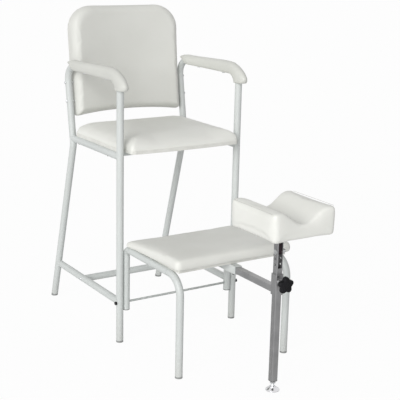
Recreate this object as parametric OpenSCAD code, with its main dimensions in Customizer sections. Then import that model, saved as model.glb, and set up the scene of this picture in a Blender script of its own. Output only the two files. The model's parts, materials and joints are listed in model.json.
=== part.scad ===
// Pedicure chair: a tall tubular chair, a low padded bench fixed in front of it, and a leg rest on a post.
// Millimetres, Z up, the sitter faces -Y, left is -X.

/* [Frame tube] */
// Outside diameter of the round frame tube
tube_d = 25; // [22:0.5:28]
// Wall of the round frame tube
tube_wall = 1.5; // [1:0.1:2.5]

/* [Chair frame] */
// Distance between the side frames, tube centre to tube centre
frame_span = 476; // [440:1:520]
// Height of the arm tube's centre line above the floor
arm_z = 931; // [900:1:980]
// Centre-line radius of the bend at the front of the arm
front_bend_r = 42; // [36:1:55]
// Centre-line radius of the bend at the rear of the arm
rear_bend_r = 50; // [42:1:65]
// Height of the kink between the upright and the rear leg
kink_z = 645; // [600:1:650]
// Centre-line radius of the kink
kink_r = 60; // [40:1:80]
// Distance on the floor from the front leg to the rear leg, centre to centre
foot_reach = 550.8; // [530:0.1:580]
// Angle of the rear leg from upright, in degrees
leg_splay = 16.25; // [14:0.05:18]
// Angle of the upright from vertical, in degrees
upright_lean = 9.3; // [7:0.1:11]
// Height of the seat rails' centre line
seat_rail_z = 667.7; // [655:0.1:690]
// Height of the low stretchers' centre line
stretcher_z = 148.3; // [100:0.1:220]
// Distance from the front legs back to the low cross-brace
brace_y = 285; // [120:1:400]
// Height of the dark feet that show under the tubes
glide_h = 6; // [4:0.5:12]

/* [Seat] */
// Distance that the seat cushion reaches past each side frame's centre line
seat_out = 5; // [0:0.5:10]
// Distance from each side frame's centre line in to the seat cushion between the legs
seat_neck_in = 19; // [15:0.5:38]
// Distance that the front corners reach in front of the front legs
seat_front = 49; // [35:1:70]
// Extra forward bow in the middle of the front edge
seat_bow = 8; // [0:1:15]
// Distance from the front legs back to the wide part of the seat
seat_notch = 18; // [15:1:30]
// Clearance between the wide part of the seat and the uprights
seat_clear = 8; // [4:0.5:40]
// Distance that the narrow rear part reaches behind the wide part
seat_tail = 37; // [30:1:45]
// Thickness of the seat cushion at the middle of its crown
seat_t = 55; // [38:1:64]
// Distance that the front edge hangs below the rest of the lower edge
seat_drop = 9; // [0:1:14]
// Thickness of the seat board
seat_board_t = 12; // [9:1:15]

/* [Back] */
// Clearance between the back cushion and each upright
back_clear = 1.5; // [1:0.1:10]
// Height of the back cushion along its slope
back_h = 405; // [340:1:440]
// Depth of the back cushion at its sides
back_t = 64; // [56:1:66]
// Depth of the hollow across the front of the back cushion
back_hollow = 22; // [10:1:24]
// Slope of the back from vertical, in degrees
back_recline = 6; // [3:0.5:9]
// Distance from the uprights' centre line forward to the lower front edge of the back cushion
back_ahead = 30.2; // [27:0.1:34]
// Height of the lower edge of the back cushion
back_z = 745; // [740:1:765]
// Radius of the upper corners
back_top_r = 90; // [50:1:100]
// Radius of the lower corners
back_low_r = 12; // [8:1:45]

/* [Arm pads] */
// Width of an arm pad
pad_w = 36; // [34:1:44]
// Height of the pad above the arm tube's centre line
pad_rise = 34; // [28:1:40]
// Distance from the tube's centre line to the outside of the nose
pad_nose = 49; // [40:1:56]
// Distance that the pad's rear tip reaches behind the straight part of the arm
pad_tip = 36; // [28:1:44]

/* [Bench] */
// Distance from the chair's front legs to the bench's front legs
bench_leg_y = 361; // [330:1:400]
// Height of the bench rails' centre line
bench_rail_z = 340.6; // [320:0.1:380]
// Centre-line radius of the bench's rear bends
bench_rear_r = 26; // [22:1:28]
// Centre-line radius of the bench's front bends
bench_front_r = 65; // [50:1:75]
// Height of the lower end of the bench's rear tubes
bench_tail_z = 119.6; // [90:0.1:135]
// Height of the tie rod through the legs
tie_z = 146; // [140:1:170]
// Diameter of the tie rod
tie_d = 8; // [6:1:10]
// Distance that the bench cushion reaches past each bench rail's centre line
bench_side = 20.2; // [10:0.1:30]
// Distance that the bench cushion reaches in front of the bench legs
bench_overhang = 8; // [4:1:35]
// Distance from the chair's front legs to the rear edge of the bench cushion
bench_back_gap = 15; // [14:1:20]
// Thickness of the bench cushion at its front
bench_front_t = 49; // [36:1:55]
// Thickness of the bench cushion at its rear
bench_back_t = 22; // [18:1:40]
// Rise of the bench cushion's lower edge from rear to front
bench_lift = 10.5; // [0:0.5:12]
// Thickness of the bench board
bench_board_t = 12; // [9:1:15]

/* [Leg rest arm] */
// Width of the square arm and of the square post
bar_w = 22; // [20:0.5:25]
// Wall of the square arm and post
bar_wall = 2; // [1.5:0.1:2.5]
// Wall of the square socket and of the square sleeve
socket_wall = 2.6; // [2:0.1:3]
// Height of the arm's centre line
arm_bar_z = 338.5; // [335:0.1:342]
// Distance from the chair's front legs to the front end of the socket
socket_front = 375; // [300:1:380]
// Distance from the chair's front legs to the rear end of the arm
arm_rear = 232; // [225:1:260]
// Distance from the chair's front legs to the post
post_y = 586; // [570:1:640]
// Height of the sleeve's lower end
sleeve_z = 323; // [318:1:326]
// Height of the sleeve
sleeve_h = 68; // [60:1:80]

/* [Leg rest post] */
// Height of the post's lower end
post_bottom = 34; // [30:1:45]
// Height of the post's upper end
post_top = 512; // [495:1:525]
// Height of the lower end of the slot in the post
slot_z = 410; // [400:1:430]
// Width of the slot in the post
slot_w = 15; // [13:0.5:15]
// Height of the pivot bolt
pivot_z = 462; // [455:1:475]
// Diameter of the pivot bolt
pivot_d = 8; // [6:1:8]
// Diameter of the foot pad
foot_d = 45; // [35:1:60]
// Height of the foot pad
foot_h = 14; // [10:1:16]

/* [Leg rest] */
// Width of the leg rest
rest_w = 236; // [190:1:260]
// Length of the leg rest
rest_l = 236; // [200:1:280]
// Height of the leg rest's lower edge
rest_z = 535; // [525:1:560]
// Height of the leg rest from its lower edge to its side tops
rest_h = 91; // [75:1:100]
// Depth of the valley for the leg
valley_depth = 45; // [30:1:50]
// Depth of the dish in the valley's floor, between its two ends
valley_dish = 9; // [0:1:12]
// Distance that the middle of the leg rest lies in front of the post
rest_lead = 14; // [0:1:25]
// Diameter of the star knob over its lobes
knob_d = 55; // [44:1:60]
// Height of the clamp screw
clamp_z = 366; // [356:1:372]

/* [Hidden] */
$fn = 64;
over = 1;
weld_gap = 0.15;
soft_gap = 0.3;
fit_gap = 0.1;
run_gap = 0.04;
slide_gap = 0.4;
hair = 0.02;
seam_l = 1;

frame_x = frame_span / 2;
bench_x = frame_x - tube_d - 0.2 * over;
kink_y = foot_reach - kink_z * tan(leg_splay);
arm_corner_y = kink_y + (arm_z - kink_z) * tan(upright_lean);
rear_turn = 90 + upright_lean;
arm_end_y = arm_corner_y - rear_bend_r * tan(rear_turn / 2);
glide_axis_l = glide_h + tube_d / 2 * tan(leg_splay);
y_front = -(post_y + rest_lead + rest_l / 2);
y_rear = foot_reach + tube_d / 2 / cos(leg_splay);
y_shift = -(y_front + y_rear) / 2;
glide_plug_l = 18;

function upright_y(z) = kink_y + (z - kink_z) * tan(upright_lean);
function rear_leg_y(z) = foot_reach - z * tan(leg_splay);

bolt_d = 6;
bolt_head_d = 11;
bolt_head_h = 4;
screw_d = 4.5;
screw_head_d = 9;
screw_head_h = 3;
square_r = 2.5;

seat_low = seat_rail_z + tube_d / 2 + soft_gap;
seat_w = frame_span + 2 * seat_out;
seat_neck_w = frame_span - 2 * seat_neck_in;
seat_wide_l = upright_y(seat_low) - tube_d / 2 / cos(upright_lean) - seat_clear - seat_notch;
seat_screw_in = 5;
seat_screw_shares = [0.236, 0.915];
seat_screw_ys = seat_screw_shares * seat_wide_l + [1, 1] * seat_notch;
seat_cross_shares = [0.13, 0.89];
seat_corner_r = 16;
seat_step_r = 14;
seat_inner_r = 6;
seat_edge_r = 9;
seat_pocket_in = 4;

back_w = frame_span - tube_d - 2 * back_clear;
back_y = upright_y(back_z) - back_ahead;
back_bolt_rises = [56, 123];
back_bolt_zs = [for (h = back_bolt_rises) back_z + h];
back_wall = 5;
back_edge_r = 12;
back_bar_w = 20;
back_bar_front = 27;
back_strap_w = 30;
back_strap_t = 4;
back_panel_t = 6;

pad_groove_r = tube_d / 2 + 3 * soft_gap;
pad_tip_t = 5;
pad_screw_d = 4;

bench_w = 2 * (bench_x + bench_side);
bench_seam = 1;
bench_lead_in = 7;
bench_spigot_l = 30;
bench_rail_back = bench_rear_r + bench_lead_in;
bench_rail_front = bench_leg_y - bench_front_r - bench_lead_in;
bench_cross_y = 45;
bench_mid_y = 170;
bench_board_z = bench_rail_z + tube_d / 2 + weld_gap;
bench_low = bench_board_z;
bench_corner_r = 20;
bench_edge_r = 9;
bench_pocket_in = bench_side - soft_gap;

socket_w = bar_w + 2 * (socket_wall + slide_gap);
lock_screw_d = 8;
lock_screw_y = socket_front - 20;

stem_w = slot_w - 2 * over;
stem_t = bar_w - 2 * bar_wall - 2 * soft_gap;
plate_t = 3;
plate_w = 120;
plate_l = 150;
rest_board_t = 12;
rest_corner_r = 18;
rest_edge_r = 12;
rest_pocket_in = 14;
stud_d = 10;
stud_top = 62;
nut_w = 17;
nut_h = 7;
clamp_screw_d = 10;
boss_d = 18;
boss_h = 10;
tip_l = 4;
knob_t = 16;
knob_neck = 12;
knob_lobes = 5;

// Shared shapes

module place() {
    translate([0, y_shift, 0]) children();
}

module both_sides(x) {
    for (s = [-1, 1]) translate([s * x, 0, 0]) children();
}

function unit(v) = v / norm(v);
function turn_at(p, i) = acos(unit(p[i + 1] - p[i]) * unit(p[i] - p[i - 1]));
function setback(p, r, i) = i == 0 || i == len(p) - 1 ? 0 : r[i] * tan(turn_at(p, i) / 2);

module ring(d, wall) {
    difference() {
        circle(d = d);
        circle(d = d - 2 * wall);
    }
}

// A round tube along corner points [y, z] in the plane X = 0, with a bend of radius r[i] at corner i.
// Each straight ends a hair short of its bend, and a ring inside the wall joins the two.
module bent_tube(p, r) {
    rotate([90, 0, 90]) {
        for (i = [0:len(p) - 2]) {
            u = unit(p[i + 1] - p[i]);
            a = p[i] + u * (setback(p, r, i) + (i == 0 ? 0 : hair));
            b = p[i + 1] - u * (setback(p, r, i + 1) + (i == len(p) - 2 ? 0 : hair));
            along(a, u) linear_extrude(norm(b - a)) ring(tube_d, tube_wall);
            if (i > 0) along(a - u * seam_l / 2, u) seam_ring();
            if (i < len(p) - 2) along(b - u * seam_l / 2, u) seam_ring();
        }
        for (i = [1:len(p) - 2]) {
            u = unit(p[i] - p[i - 1]);
            v = unit(p[i + 1] - p[i]);
            c = p[i] + unit(v - u) * r[i] / cos(turn_at(p, i) / 2);
            e = cross(u, v) > 0 ? p[i] - u * setback(p, r, i) - c : p[i] + v * setback(p, r, i) - c;
            translate([c[0], c[1], 0]) rotate([0, 0, atan2(e[1], e[0])])
                rotate_extrude(angle = turn_at(p, i)) translate([r[i], 0]) ring(tube_d, tube_wall);
        }
    }
}

module along(a, u) {
    translate([a[0], a[1], 0]) rotate([0, 90, atan2(u[1], u[0])]) children();
}

module seam_ring() {
    linear_extrude(seam_l) ring(tube_d - 4 * hair, tube_wall - 4 * hair);
}

// A straight round tube along Y or X between two places.
module tube_y(y0, y1, z) {
    translate([0, y0, z]) rotate([-90, 0, 0]) linear_extrude(y1 - y0) ring(tube_d, tube_wall);
}

module tube_x(x0, x1, y, z) {
    translate([x0, y, z]) rotate([90, 0, 90]) linear_extrude(x1 - x0) ring(tube_d, tube_wall);
}

module rod_x(x0, x1, d) {
    translate([x0, 0, 0]) rotate([0, 90, 0]) cylinder(h = x1 - x0, d = d);
}

module rod_y(y0, y1, d) {
    translate([0, y0, 0]) rotate([-90, 0, 0]) cylinder(h = y1 - y0, d = d);
}

// Cutters as thick as a tube and its weld gap, for fish-mouth ends.
module saddle_z() {
    cylinder(h = arm_z, d = tube_d + 2 * weld_gap);
}

module saddle_upright() {
    translate([0, kink_y, kink_z]) rotate([-upright_lean, 0, 0])
        cylinder(h = arm_z - kink_z, d = tube_d + 2 * weld_gap);
}

module saddle_rear_leg() {
    translate([0, foot_reach, 0]) rotate([leg_splay, 0, 0])
        cylinder(h = kink_z, d = tube_d + 2 * weld_gap);
}

module saddle_y(z) {
    translate([0, -bench_leg_y, z]) rotate([-90, 0, 0])
        cylinder(h = bench_leg_y + foot_reach, d = tube_d + 2 * weld_gap);
}

module saddle_x(y, z) {
    translate([-frame_x, y, z]) rotate([0, 90, 0]) cylinder(h = frame_span, d = tube_d + 2 * weld_gap);
}

module round_square(w, r) {
    square([w, w - 2 * r], center = true);
    square([w - 2 * r, w], center = true);
    for (x = [-1, 1], y = [-1, 1]) translate([x, y] * (w / 2 - r)) circle(r = r);
}

module square_tube(w, wall, h) {
    linear_extrude(h) difference() {
        round_square(w, square_r);
        round_square(w - 2 * wall, square_r / 2);
    }
}

// A plug for a square tube, with its flange below z = 0 and its shank above.
module square_plug(w, wall, flange, shank) {
    translate([0, 0, -flange]) linear_extrude(flange) round_square(w, square_r);
    linear_extrude(shank) round_square(w - 2 * wall - 2 * fit_gap, square_r / 2);
}

// Outline with rounded square corners. Each edge is cut into k[i] pieces
// and drawn in by draw[i] at its middle.
function outline(p, r, m, k, draw, g) = [
    for (i = [0:len(p) - 1])
        let (n = len(p), a = p[(i + n - 1) % n], b = p[(i + 1) % n], c = p[(i + 2) % n],
             u = unit(p[i] - a), v = unit(b - p[i]), w = unit(c - b),
             ri = cross(u, v) > 0 ? max(r[i] - g, r[i] / 4) : r[i] + g,
             rj = cross(v, w) > 0 ? max(r[(i + 1) % n] - g, r[(i + 1) % n] / 4) : r[(i + 1) % n] + g,
             from = p[i] + v * ri, to = b - v * rj, inward = [-v[1], v[0]])
            for (q = concat(
                [for (j = [0:m[i]]) let (t = 90 * j / m[i])
                    p[i] + ri * (v - u) + ri * (u * sin(t) - v * cos(t))],
                [for (j = [1:1:k[i] - 1]) let (t = j / k[i])
                    from + (to - from) * t + inward * draw[i] * 4 * t * (1 - t)])) q];

// Rings of a cushion, from the middle of its underside round its sides to the middle of its crown.
function cushion_rings(shape, mid, floor_shares, pocket, floor_at, sides, crown_shares, bend,
    low_at, top_at) =
    let (last = sides[len(sides) - 1])
    concat(
        [for (s = floor_shares) [for (q = shape(pocket)) let (p = mid + s * (q - mid))
            [p[0], p[1], floor_at(p)]]],
        [for (e = sides) [for (q = shape(e[0])) [q[0], q[1], low_at(q) + e[1] * (top_at(q) - low_at(q))]]],
        [for (s = crown_shares) [for (q = shape(last[0])) let (p = mid + s * (q - mid),
            share = last[1] + (1 - last[1]) * (1 - pow(s, bend)))
            [p[0], p[1], low_at(p) + share * (top_at(p) - low_at(p))]]]);

// A closed skin over rings of equal length, closed by a fan at the first and at the last ring.
module skin(rings, first, last) {
    n = len(rings[0]);
    m = len(rings);
    points = concat([for (ring_points = rings) each ring_points], [first, last]);
    sides = [for (j = [0:m - 2], i = [0:n - 1]) let (a = j * n + i, b = j * n + (i + 1) % n)
        each [[a, a + n, b + n], [a, b + n, b]]];
    caps = [for (i = [0:n - 1]) each [
        [m * n, i, (i + 1) % n],
        [m * n + 1, (m - 1) * n + (i + 1) % n, (m - 1) * n + i]]];
    polyhedron(points = points, faces = concat(sides, caps));
}

// Chair frame

frame_path = [[0, glide_h], [0, arm_z], [arm_corner_y, arm_z], [kink_y, kink_z],
    [foot_reach - glide_axis_l * sin(leg_splay), glide_axis_l * cos(leg_splay)]];

module back_bolt_places() {
    for (z = back_bolt_zs) translate([0, upright_y(z), z]) children();
}

module side_frame() {
    color("gainsboro") difference() {
        bent_tube(frame_path, [0, front_bend_r, rear_bend_r, kink_r, 0]);
        back_bolt_places() rod_x(-tube_d, tube_d, bolt_d + 2 * fit_gap);
        translate([0, 0, tie_z]) rod_x(-tube_d, tube_d, tie_d + 2 * fit_gap);
        for (y = pad_screw_ys) translate([0, y, arm_z - tube_d])
            cylinder(h = 2 * tube_d, d = pad_screw_d + 2 * fit_gap);
    }
}

module side_frame_left() {
    place() translate([-frame_x, 0, 0]) side_frame();
}

module side_frame_right() {
    place() translate([frame_x, 0, 0]) side_frame();
}

module straight_glide() {
    cylinder(h = glide_h - weld_gap, d = tube_d);
    cylinder(h = glide_h + glide_plug_l, d = tube_d - 2 * tube_wall - 2 * fit_gap);
}

module splayed_glide() {
    difference() {
        translate([0, foot_reach, 0]) rotate([leg_splay, 0, 0]) translate([0, 0, -tube_d]) {
            cylinder(h = tube_d + glide_axis_l - weld_gap, d = tube_d);
            cylinder(h = tube_d + glide_axis_l + glide_plug_l, d = tube_d - 2 * tube_wall - 2 * fit_gap);
        }
        translate([-tube_d, foot_reach - 2 * tube_d, -2 * tube_d]) cube([2, 4, 2] * tube_d);
    }
}

module chair_leg_glides() {
    place() color("dimgray") both_sides(frame_x) {
        straight_glide();
        splayed_glide();
    }
}

module seat_rail(s) {
    place() color("gainsboro") translate([s * frame_x, 0, 0]) difference() {
        tube_y(0, upright_y(seat_rail_z), seat_rail_z);
        saddle_z();
        saddle_upright();
        for (y = seat_screw_ys) translate([-s * seat_screw_in, y, seat_rail_z - tube_d])
            cylinder(h = 2 * tube_d, d = screw_d + 2 * fit_gap);
    }
}

module seat_rail_left() {
    seat_rail(-1);
}

module seat_rail_right() {
    seat_rail(1);
}

module seat_cross_rails() {
    place() color("gainsboro") for (f = seat_cross_shares) difference() {
        tube_x(-frame_x, frame_x, seat_notch + f * seat_wide_l, seat_rail_z);
        both_sides(frame_x) saddle_y(seat_rail_z);
    }
}

module side_stretcher(s) {
    place() color("gainsboro") translate([s * frame_x, 0, 0]) difference() {
        tube_y(0, rear_leg_y(stretcher_z), stretcher_z);
        saddle_z();
        saddle_rear_leg();
        translate([0, brace_y, stretcher_z]) rod_x(-tube_d, tube_d, bolt_d + 2 * fit_gap);
    }
}

module side_stretcher_left() {
    side_stretcher(-1);
}

module side_stretcher_right() {
    side_stretcher(1);
}

brace_plug_x = frame_x - tube_d;
brace_plug_l = 12;

module cross_brace() {
    place() color("gainsboro") difference() {
        union() {
            tube_x(-frame_x, frame_x, brace_y, stretcher_z);
            for (s = [-1, 1]) translate([s * brace_plug_x, brace_y, stretcher_z])
                rod_x(-brace_plug_l / 2, brace_plug_l / 2, tube_d - tube_wall);
        }
        both_sides(frame_x) saddle_y(stretcher_z);
        for (s = [-1, 1]) translate([s * brace_plug_x, brace_y, stretcher_z])
            rod_x(-brace_plug_l, brace_plug_l, bolt_d + 2 * fit_gap);
    }
}

// A round-headed bolt along X whose head bears at x = 0 and whose shank points to -X.
module bolt_x(l) {
    rod_x(-l, over, bolt_d);
    rotate([0, 90, 0]) difference() {
        translate([0, 0, bolt_head_h - bolt_head_d / 2]) sphere(d = bolt_head_d);
        translate([-bolt_head_d, -bolt_head_d, -2 * bolt_head_d]) cube(2 * bolt_head_d);
    }
}

module stretcher_bolts() {
    place() color("black") for (s = [0, 1]) mirror([s, 0, 0])
        translate([frame_x + tube_d / 2 + weld_gap, brace_y, stretcher_z])
            bolt_x(3 / 2 * tube_d + brace_plug_l / 2);
}

// Seat

seat_y0 = seat_notch;
seat_y1 = seat_notch + seat_wide_l;
function seat_corners(g) = let (n = seat_neck_w / 2 - g, w = seat_w / 2 - g, f = -seat_front + g,
    a = seat_y0 + g, b = seat_y1 - g, e = seat_y1 + seat_tail - g)
    [[n, f], [n, a], [w, a], [w, b], [n, b], [n, e], [-n, e], [-n, b], [-w, b], [-w, a], [-n, a], [-n, f]];
seat_radii = [seat_corner_r, seat_inner_r, seat_step_r, seat_step_r, seat_inner_r, seat_step_r,
    seat_step_r, seat_inner_r, seat_step_r, seat_step_r, seat_inner_r, seat_corner_r];
seat_steps = [3, 1, 7, 1, 2, 8, 2, 1, 7, 1, 3, 10];
seat_draws = [0, 0, 0.25, 0, 0, 0.5, 0, 0, 0.25, 0, 0, -1] * seat_bow;
seat_mid = [0, seat_y0 + seat_wide_l * 0.45];
seat_outline = function(g) outline(seat_corners(g), seat_radii, [for (r = seat_radii) 2], seat_steps,
    seat_draws, g);
seat_low_at = function(q) seat_low - seat_drop * max(0, min(1, (seat_y0 - q[1]) / (seat_front + seat_y0)));
seat_top_at = function(q) seat_low + seat_t;
seat_side_shares = [[0.2, 0.02], [0.05, 0.1], [0, 0.2], [0.12, 0.3], [0.45, 0.39], [1, 0.47]];

module seat_cushion() {
    sides = [for (e = seat_side_shares) [e[0] * seat_edge_r, e[1]]];
    place() color("whitesmoke") skin(
        concat(
            cushion_rings(seat_outline, seat_mid, [1], seat_pocket_in,
                function(q) seat_low + seat_board_t + soft_gap,
                concat([[seat_pocket_in, 0], [seat_edge_r * 0.2, 0]], sides),
                [0.965, 0.9, 0.8, 0.62, 0.36], 4.3, seat_low_at, seat_top_at)),
        [seat_mid[0], seat_mid[1], seat_low + seat_board_t + soft_gap],
        [seat_mid[0], seat_mid[1], seat_low + seat_t]);
}

module seat_board() {
    place() color("ivory") difference() {
        translate([0, 0, seat_low - fit_gap]) linear_extrude(seat_board_t)
            polygon(seat_outline(seat_pocket_in + soft_gap));
        both_sides(frame_x - seat_screw_in) for (y = seat_screw_ys)
            translate([0, y, seat_low - over]) cylinder(h = seat_board_t, d = screw_d + 2 * run_gap);
    }
}

// A pan-headed screw along Z whose head bears at z = 0 and whose shank points up.
module screw_z(l, d) {
    translate([0, 0, -screw_head_h]) cylinder(h = screw_head_h, d = screw_head_d);
    cylinder(h = l, d = d);
}

module seat_screws() {
    place() color("black") both_sides(frame_x - seat_screw_in) for (y = seat_screw_ys)
        translate([0, y, seat_rail_z - tube_d / 2 - fit_gap])
            screw_z(tube_d + seat_board_t - 2 * over, screw_d);
}

// Back

function back_corners(g) = let (w = back_w / 2 - g)
    [[w, g], [w, back_h - g], [-w, back_h - g], [-w, g]];
back_radii = [back_low_r, back_top_r, back_top_r, back_low_r];
back_mid = [0, back_h / 2];
back_draws = [0.1, 0, 0.1, 1.05] * back_edge_r;
back_outline = function(g) outline(back_corners(g), back_radii, [3, 6, 6, 3], [6, 6, 6, 8], back_draws, g);
function back_bow(q) = 1 - pow(q[0] / (back_w / 2), 2);
back_low_at = function(q) 0;
back_top_at = function(q) back_t - back_hollow * back_bow(q);
// The pocket's floor is flat over the side bars and bulges to the rear between them.
back_floor_bow = 0.32;
back_floor_at = function(q) back_t - back_bar_front + soft_gap
    - back_edge_r * max(0, back_bow(q) - back_floor_bow);
back_side_shares = [[0.3, 0], [0.06, 0.1], [0, 0.38], [0.08, 0.6], [0.4, 0.79], [1, 0.92], [1.8, 0.985]];

module back_place() {
    place() translate([0, back_y, back_z]) rotate([-back_recline, 0, 0]) children();
}

// Places of the back bolts in the back's own frame: depth behind its front edge, and height up its slope.
function back_bolt_at(z) = let (y = upright_y(z) - back_y, h = z - back_z)
    [y * cos(back_recline) - h * sin(back_recline), y * sin(back_recline) + h * cos(back_recline)];

module back_cushion() {
    sides = [for (e = back_side_shares) [e[0] * back_edge_r, e[1]]];
    back_place() color("whitesmoke") difference() {
        translate([0, back_t, 0]) rotate([90, 0, 0]) skin(
            cushion_rings(back_outline, back_mid, [0.3, 0.6, 0.82, 1], back_wall, back_floor_at,
                concat([[back_wall, 0]], sides), [0.9, 0.7, 0.45, 0.2], 3, back_low_at, back_top_at),
            [0, back_mid[1], back_floor_at([0, 0])], [0, back_mid[1], back_top_at([0, 0])]);
        for (z = back_bolt_zs, s = [-1, 1])
            translate([s * back_w / 2, back_bolt_at(z)[0], back_bolt_at(z)[1]])
                rod_x(-2 * back_wall, 2 * back_wall, bolt_d + 2 * soft_gap);
    }
}

back_bar_x = back_w / 2 - back_wall - back_draws[0] - soft_gap;
back_bar_low = back_top_r * 0.35;
back_bar_l = back_h - back_top_r - back_bar_low;
back_strap_shares = [0.06, 0.94];

module back_frame() {
    back_place() color("silver") difference() {
        union() {
            for (s = [-1, 1]) translate([s * (back_bar_x - back_bar_w / 2),
                back_bar_front + back_bar_w / 2, back_bar_low])
                square_tube(back_bar_w, tube_wall, back_bar_l);
            for (f = back_strap_shares) translate([-back_bar_x + over, back_bar_front + back_bar_w,
                back_bar_low + f * back_bar_l - back_strap_w / 2])
                cube([2 * (back_bar_x - over), back_strap_t, back_strap_w]);
        }
        for (z = back_bolt_zs) translate([0, back_bolt_at(z)[0], back_bolt_at(z)[1]])
            rod_x(-back_w / 2, back_w / 2, bolt_d + 2 * fit_gap);
    }
}

module back_panel() {
    back_place() color("whitesmoke") translate([0, back_t - weld_gap, 0]) rotate([90, 0, 0])
        linear_extrude(back_panel_t) polygon(back_outline(back_wall + soft_gap));
}

module back_bolts() {
    place() color("lightgray") for (s = [0, 1]) mirror([s, 0, 0])
        translate([frame_x + tube_d / 2 + weld_gap, 0, 0])
            back_bolt_places() bolt_x(frame_x + tube_d / 2 - back_bar_x + back_bar_w - 2 * tube_wall);
}

// Arm pads

pad_screw_ys = [0.28, 0.76] * arm_end_y;
pad_low = tube_d / 2 * 0.9;
pad_nose_shares = [[0.96, 0.35], [0.92, 0.8], [0.865, 1], [0.81, 0.97], [0.72, 0.7], [0.61, 0.35],
    [0.5, 0.05], [0.43, -0.08], [0.36, -0.17], [0.27, -0.24], [0.18, -0.27], [0.09, -0.23], [0, -0.13]];
pad_top_shares = [[0.17, 1], [0.4, 0.94], [0.62, 0.87], [0.84, 0.79]];
pad_tail_shares = [[-0.6, 1.14, -0.9, 1], [-0.15, 1.02, -0.7, 1], [0.2, 0.7, -0.1, 0.97],
    [0.45, 0.49, 0.35, 0.85], [0.7, 0.28, 0.7, 0.78], [0.9, 0.12, 0.9, 0.74], [1, -0.12, 1, 0.7]];

// One section of a pad at the tube's axis point c with the outward normal n. The first half of the points
// run over the pad from right to left, the second half through the groove for the tube.
function pad_section(c, n, top, low, groove, slim) =
    let (w = pad_w / 2 * slim, h = top - low, m = 12,
         a0 = asin(max(-0.9, min(0.9, (low - groove) / pad_groove_r))),
         over_pad = concat([[0.88 * w, low], [w, low + h / 4]],
            [for (j = [0:m - 4]) let (t = 180 * j / (m - 4)) [w * cos(t), low + h * (0.45 + 0.55 * sin(t))]],
            [[-w, low + h / 4], [-0.88 * w, low]]),
         through = [for (j = [0:m]) let (t = a0 + (180 - 2 * a0) * j / m)
            [pad_groove_r * cos(t), max(low + over * sin(180 * j / m), groove + pad_groove_r * sin(t))]])
    [for (q = concat(over_pad, through)) [q[0], c[0] + n[0] * q[1], c[1] + n[1] * q[1]]];

function nose_section(f, t) = let (a = 90 * f, r = front_bend_r)
    pad_section([r - r * sin(a), arm_z - r + r * cos(a)], [-sin(a), cos(a)],
        pad_rise + t * (pad_nose - pad_rise), -pad_low, 0, 1);
function top_section(f, t) = pad_section([f * arm_end_y + (1 - f) * front_bend_r * 0.8, arm_z], [0, 1],
    pad_rise * t, -pad_low, 0, 1);
function tube_fall(y) = y < 0 ? 0 : rear_bend_r + tube_d / 2 - sqrt(pow(rear_bend_r + tube_d / 2, 2) - y * y);
function tail_section(f, t, b, slim) =
    let (y = f * pad_tip, low = b < 0 ? b * tube_d / 2 : b * (tube_d / 2 - pad_tip_t / 2))
    pad_section([arm_end_y + y, arm_z], [0, 1], low + pad_tip_t + max(0, t) * (pad_rise - pad_tip_t), low,
        -tube_fall(y), slim);

// A skin over sections that are open hoops, closed by strips at both ends.
module arm_pad(x) {
    sections = concat(
        [for (s = pad_nose_shares) nose_section(s[0], s[1])],
        [for (s = pad_top_shares) top_section(s[0], s[1])],
        [for (s = pad_tail_shares) tail_section(s[0], s[1], s[2], s[3])]);
    n = len(sections[0]);
    h = n / 2;
    m = len(sections);
    loop = concat([for (i = [0:h - 1]) i], [for (i = [n - 1:-1:h]) i]);
    sides = [for (j = [0:m - 2], i = [0:n - 1])
        let (a = j * n + loop[i], b = j * n + loop[(i + 1) % n])
        each [[a, b + n, a + n], [a, b, b + n]]];
    ends = [for (i = [0:h - 2]) let (z = (m - 1) * n) each [
        [i, i + h + 1, i + 1], [i, i + h, i + h + 1],
        [z + i, z + i + 1, z + i + h + 1], [z + i, z + i + h + 1, z + i + h]]];
    place() color("whitesmoke") translate([x, 0, 0]) difference() {
        polyhedron(points = [for (s = sections) each s], faces = concat(sides, ends));
        for (y = pad_screw_ys) translate([0, y, arm_z])
            cylinder(h = pad_rise * 0.7, d = pad_screw_d + 2 * run_gap);
    }
}

module arm_pad_left() {
    arm_pad(-frame_x);
}

module arm_pad_right() {
    arm_pad(frame_x);
}

module arm_pad_screws() {
    place() color("black") both_sides(frame_x) for (y = pad_screw_ys)
        translate([0, y, arm_z - tube_d / 2 - fit_gap]) screw_z(tube_d / 2 + pad_rise * 0.65, pad_screw_d);
}

// Bench

module tie_rod() {
    place() color("silver") translate([0, 0, tie_z])
        rod_x(-frame_x - tube_d / 2 - bolt_head_h, frame_x + tube_d / 2 + bolt_head_h, tie_d);
}

module tie_rod_nuts() {
    place() color("black") for (s = [0, 1]) mirror([s, 0, 0])
        translate([frame_x + tube_d / 2 + weld_gap, 0, tie_z]) difference() {
            rod_x(0, bolt_head_h + 2 * over, tie_d * 3 / 2);
            rod_x(-over, bolt_head_h, tie_d + 2 * run_gap);
        }
}

module bench_rear_leg(s) {
    place() color("gainsboro") translate([s * bench_x, 0, 0]) difference() {
        bent_tube([[0, bench_tail_z], [0, bench_rail_z], [-bench_rail_back, bench_rail_z]],
            [0, bench_rear_r, 0]);
        translate([0, 0, tie_z]) rod_x(-tube_d, tube_d, tie_d + 2 * fit_gap);
    }
}

module bench_rear_leg_left() {
    bench_rear_leg(-1);
}

module bench_rear_leg_right() {
    bench_rear_leg(1);
}

module bench_side_rail(s) {
    place() color("gainsboro") translate([s * bench_x, 0, 0])
        tube_y(-bench_rail_front + bench_seam, -bench_rail_back - bench_seam, bench_rail_z);
}

module bench_side_rail_left() {
    bench_side_rail(-1);
}

module bench_side_rail_right() {
    bench_side_rail(1);
}

module bench_front_leg(s) {
    place() color("gainsboro") translate([s * bench_x, 0, 0])
        bent_tube([[-bench_rail_front, bench_rail_z], [-bench_leg_y, bench_rail_z], [-bench_leg_y, glide_h]],
            [0, bench_front_r, 0]);
}

module bench_front_leg_left() {
    bench_front_leg(-1);
}

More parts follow.
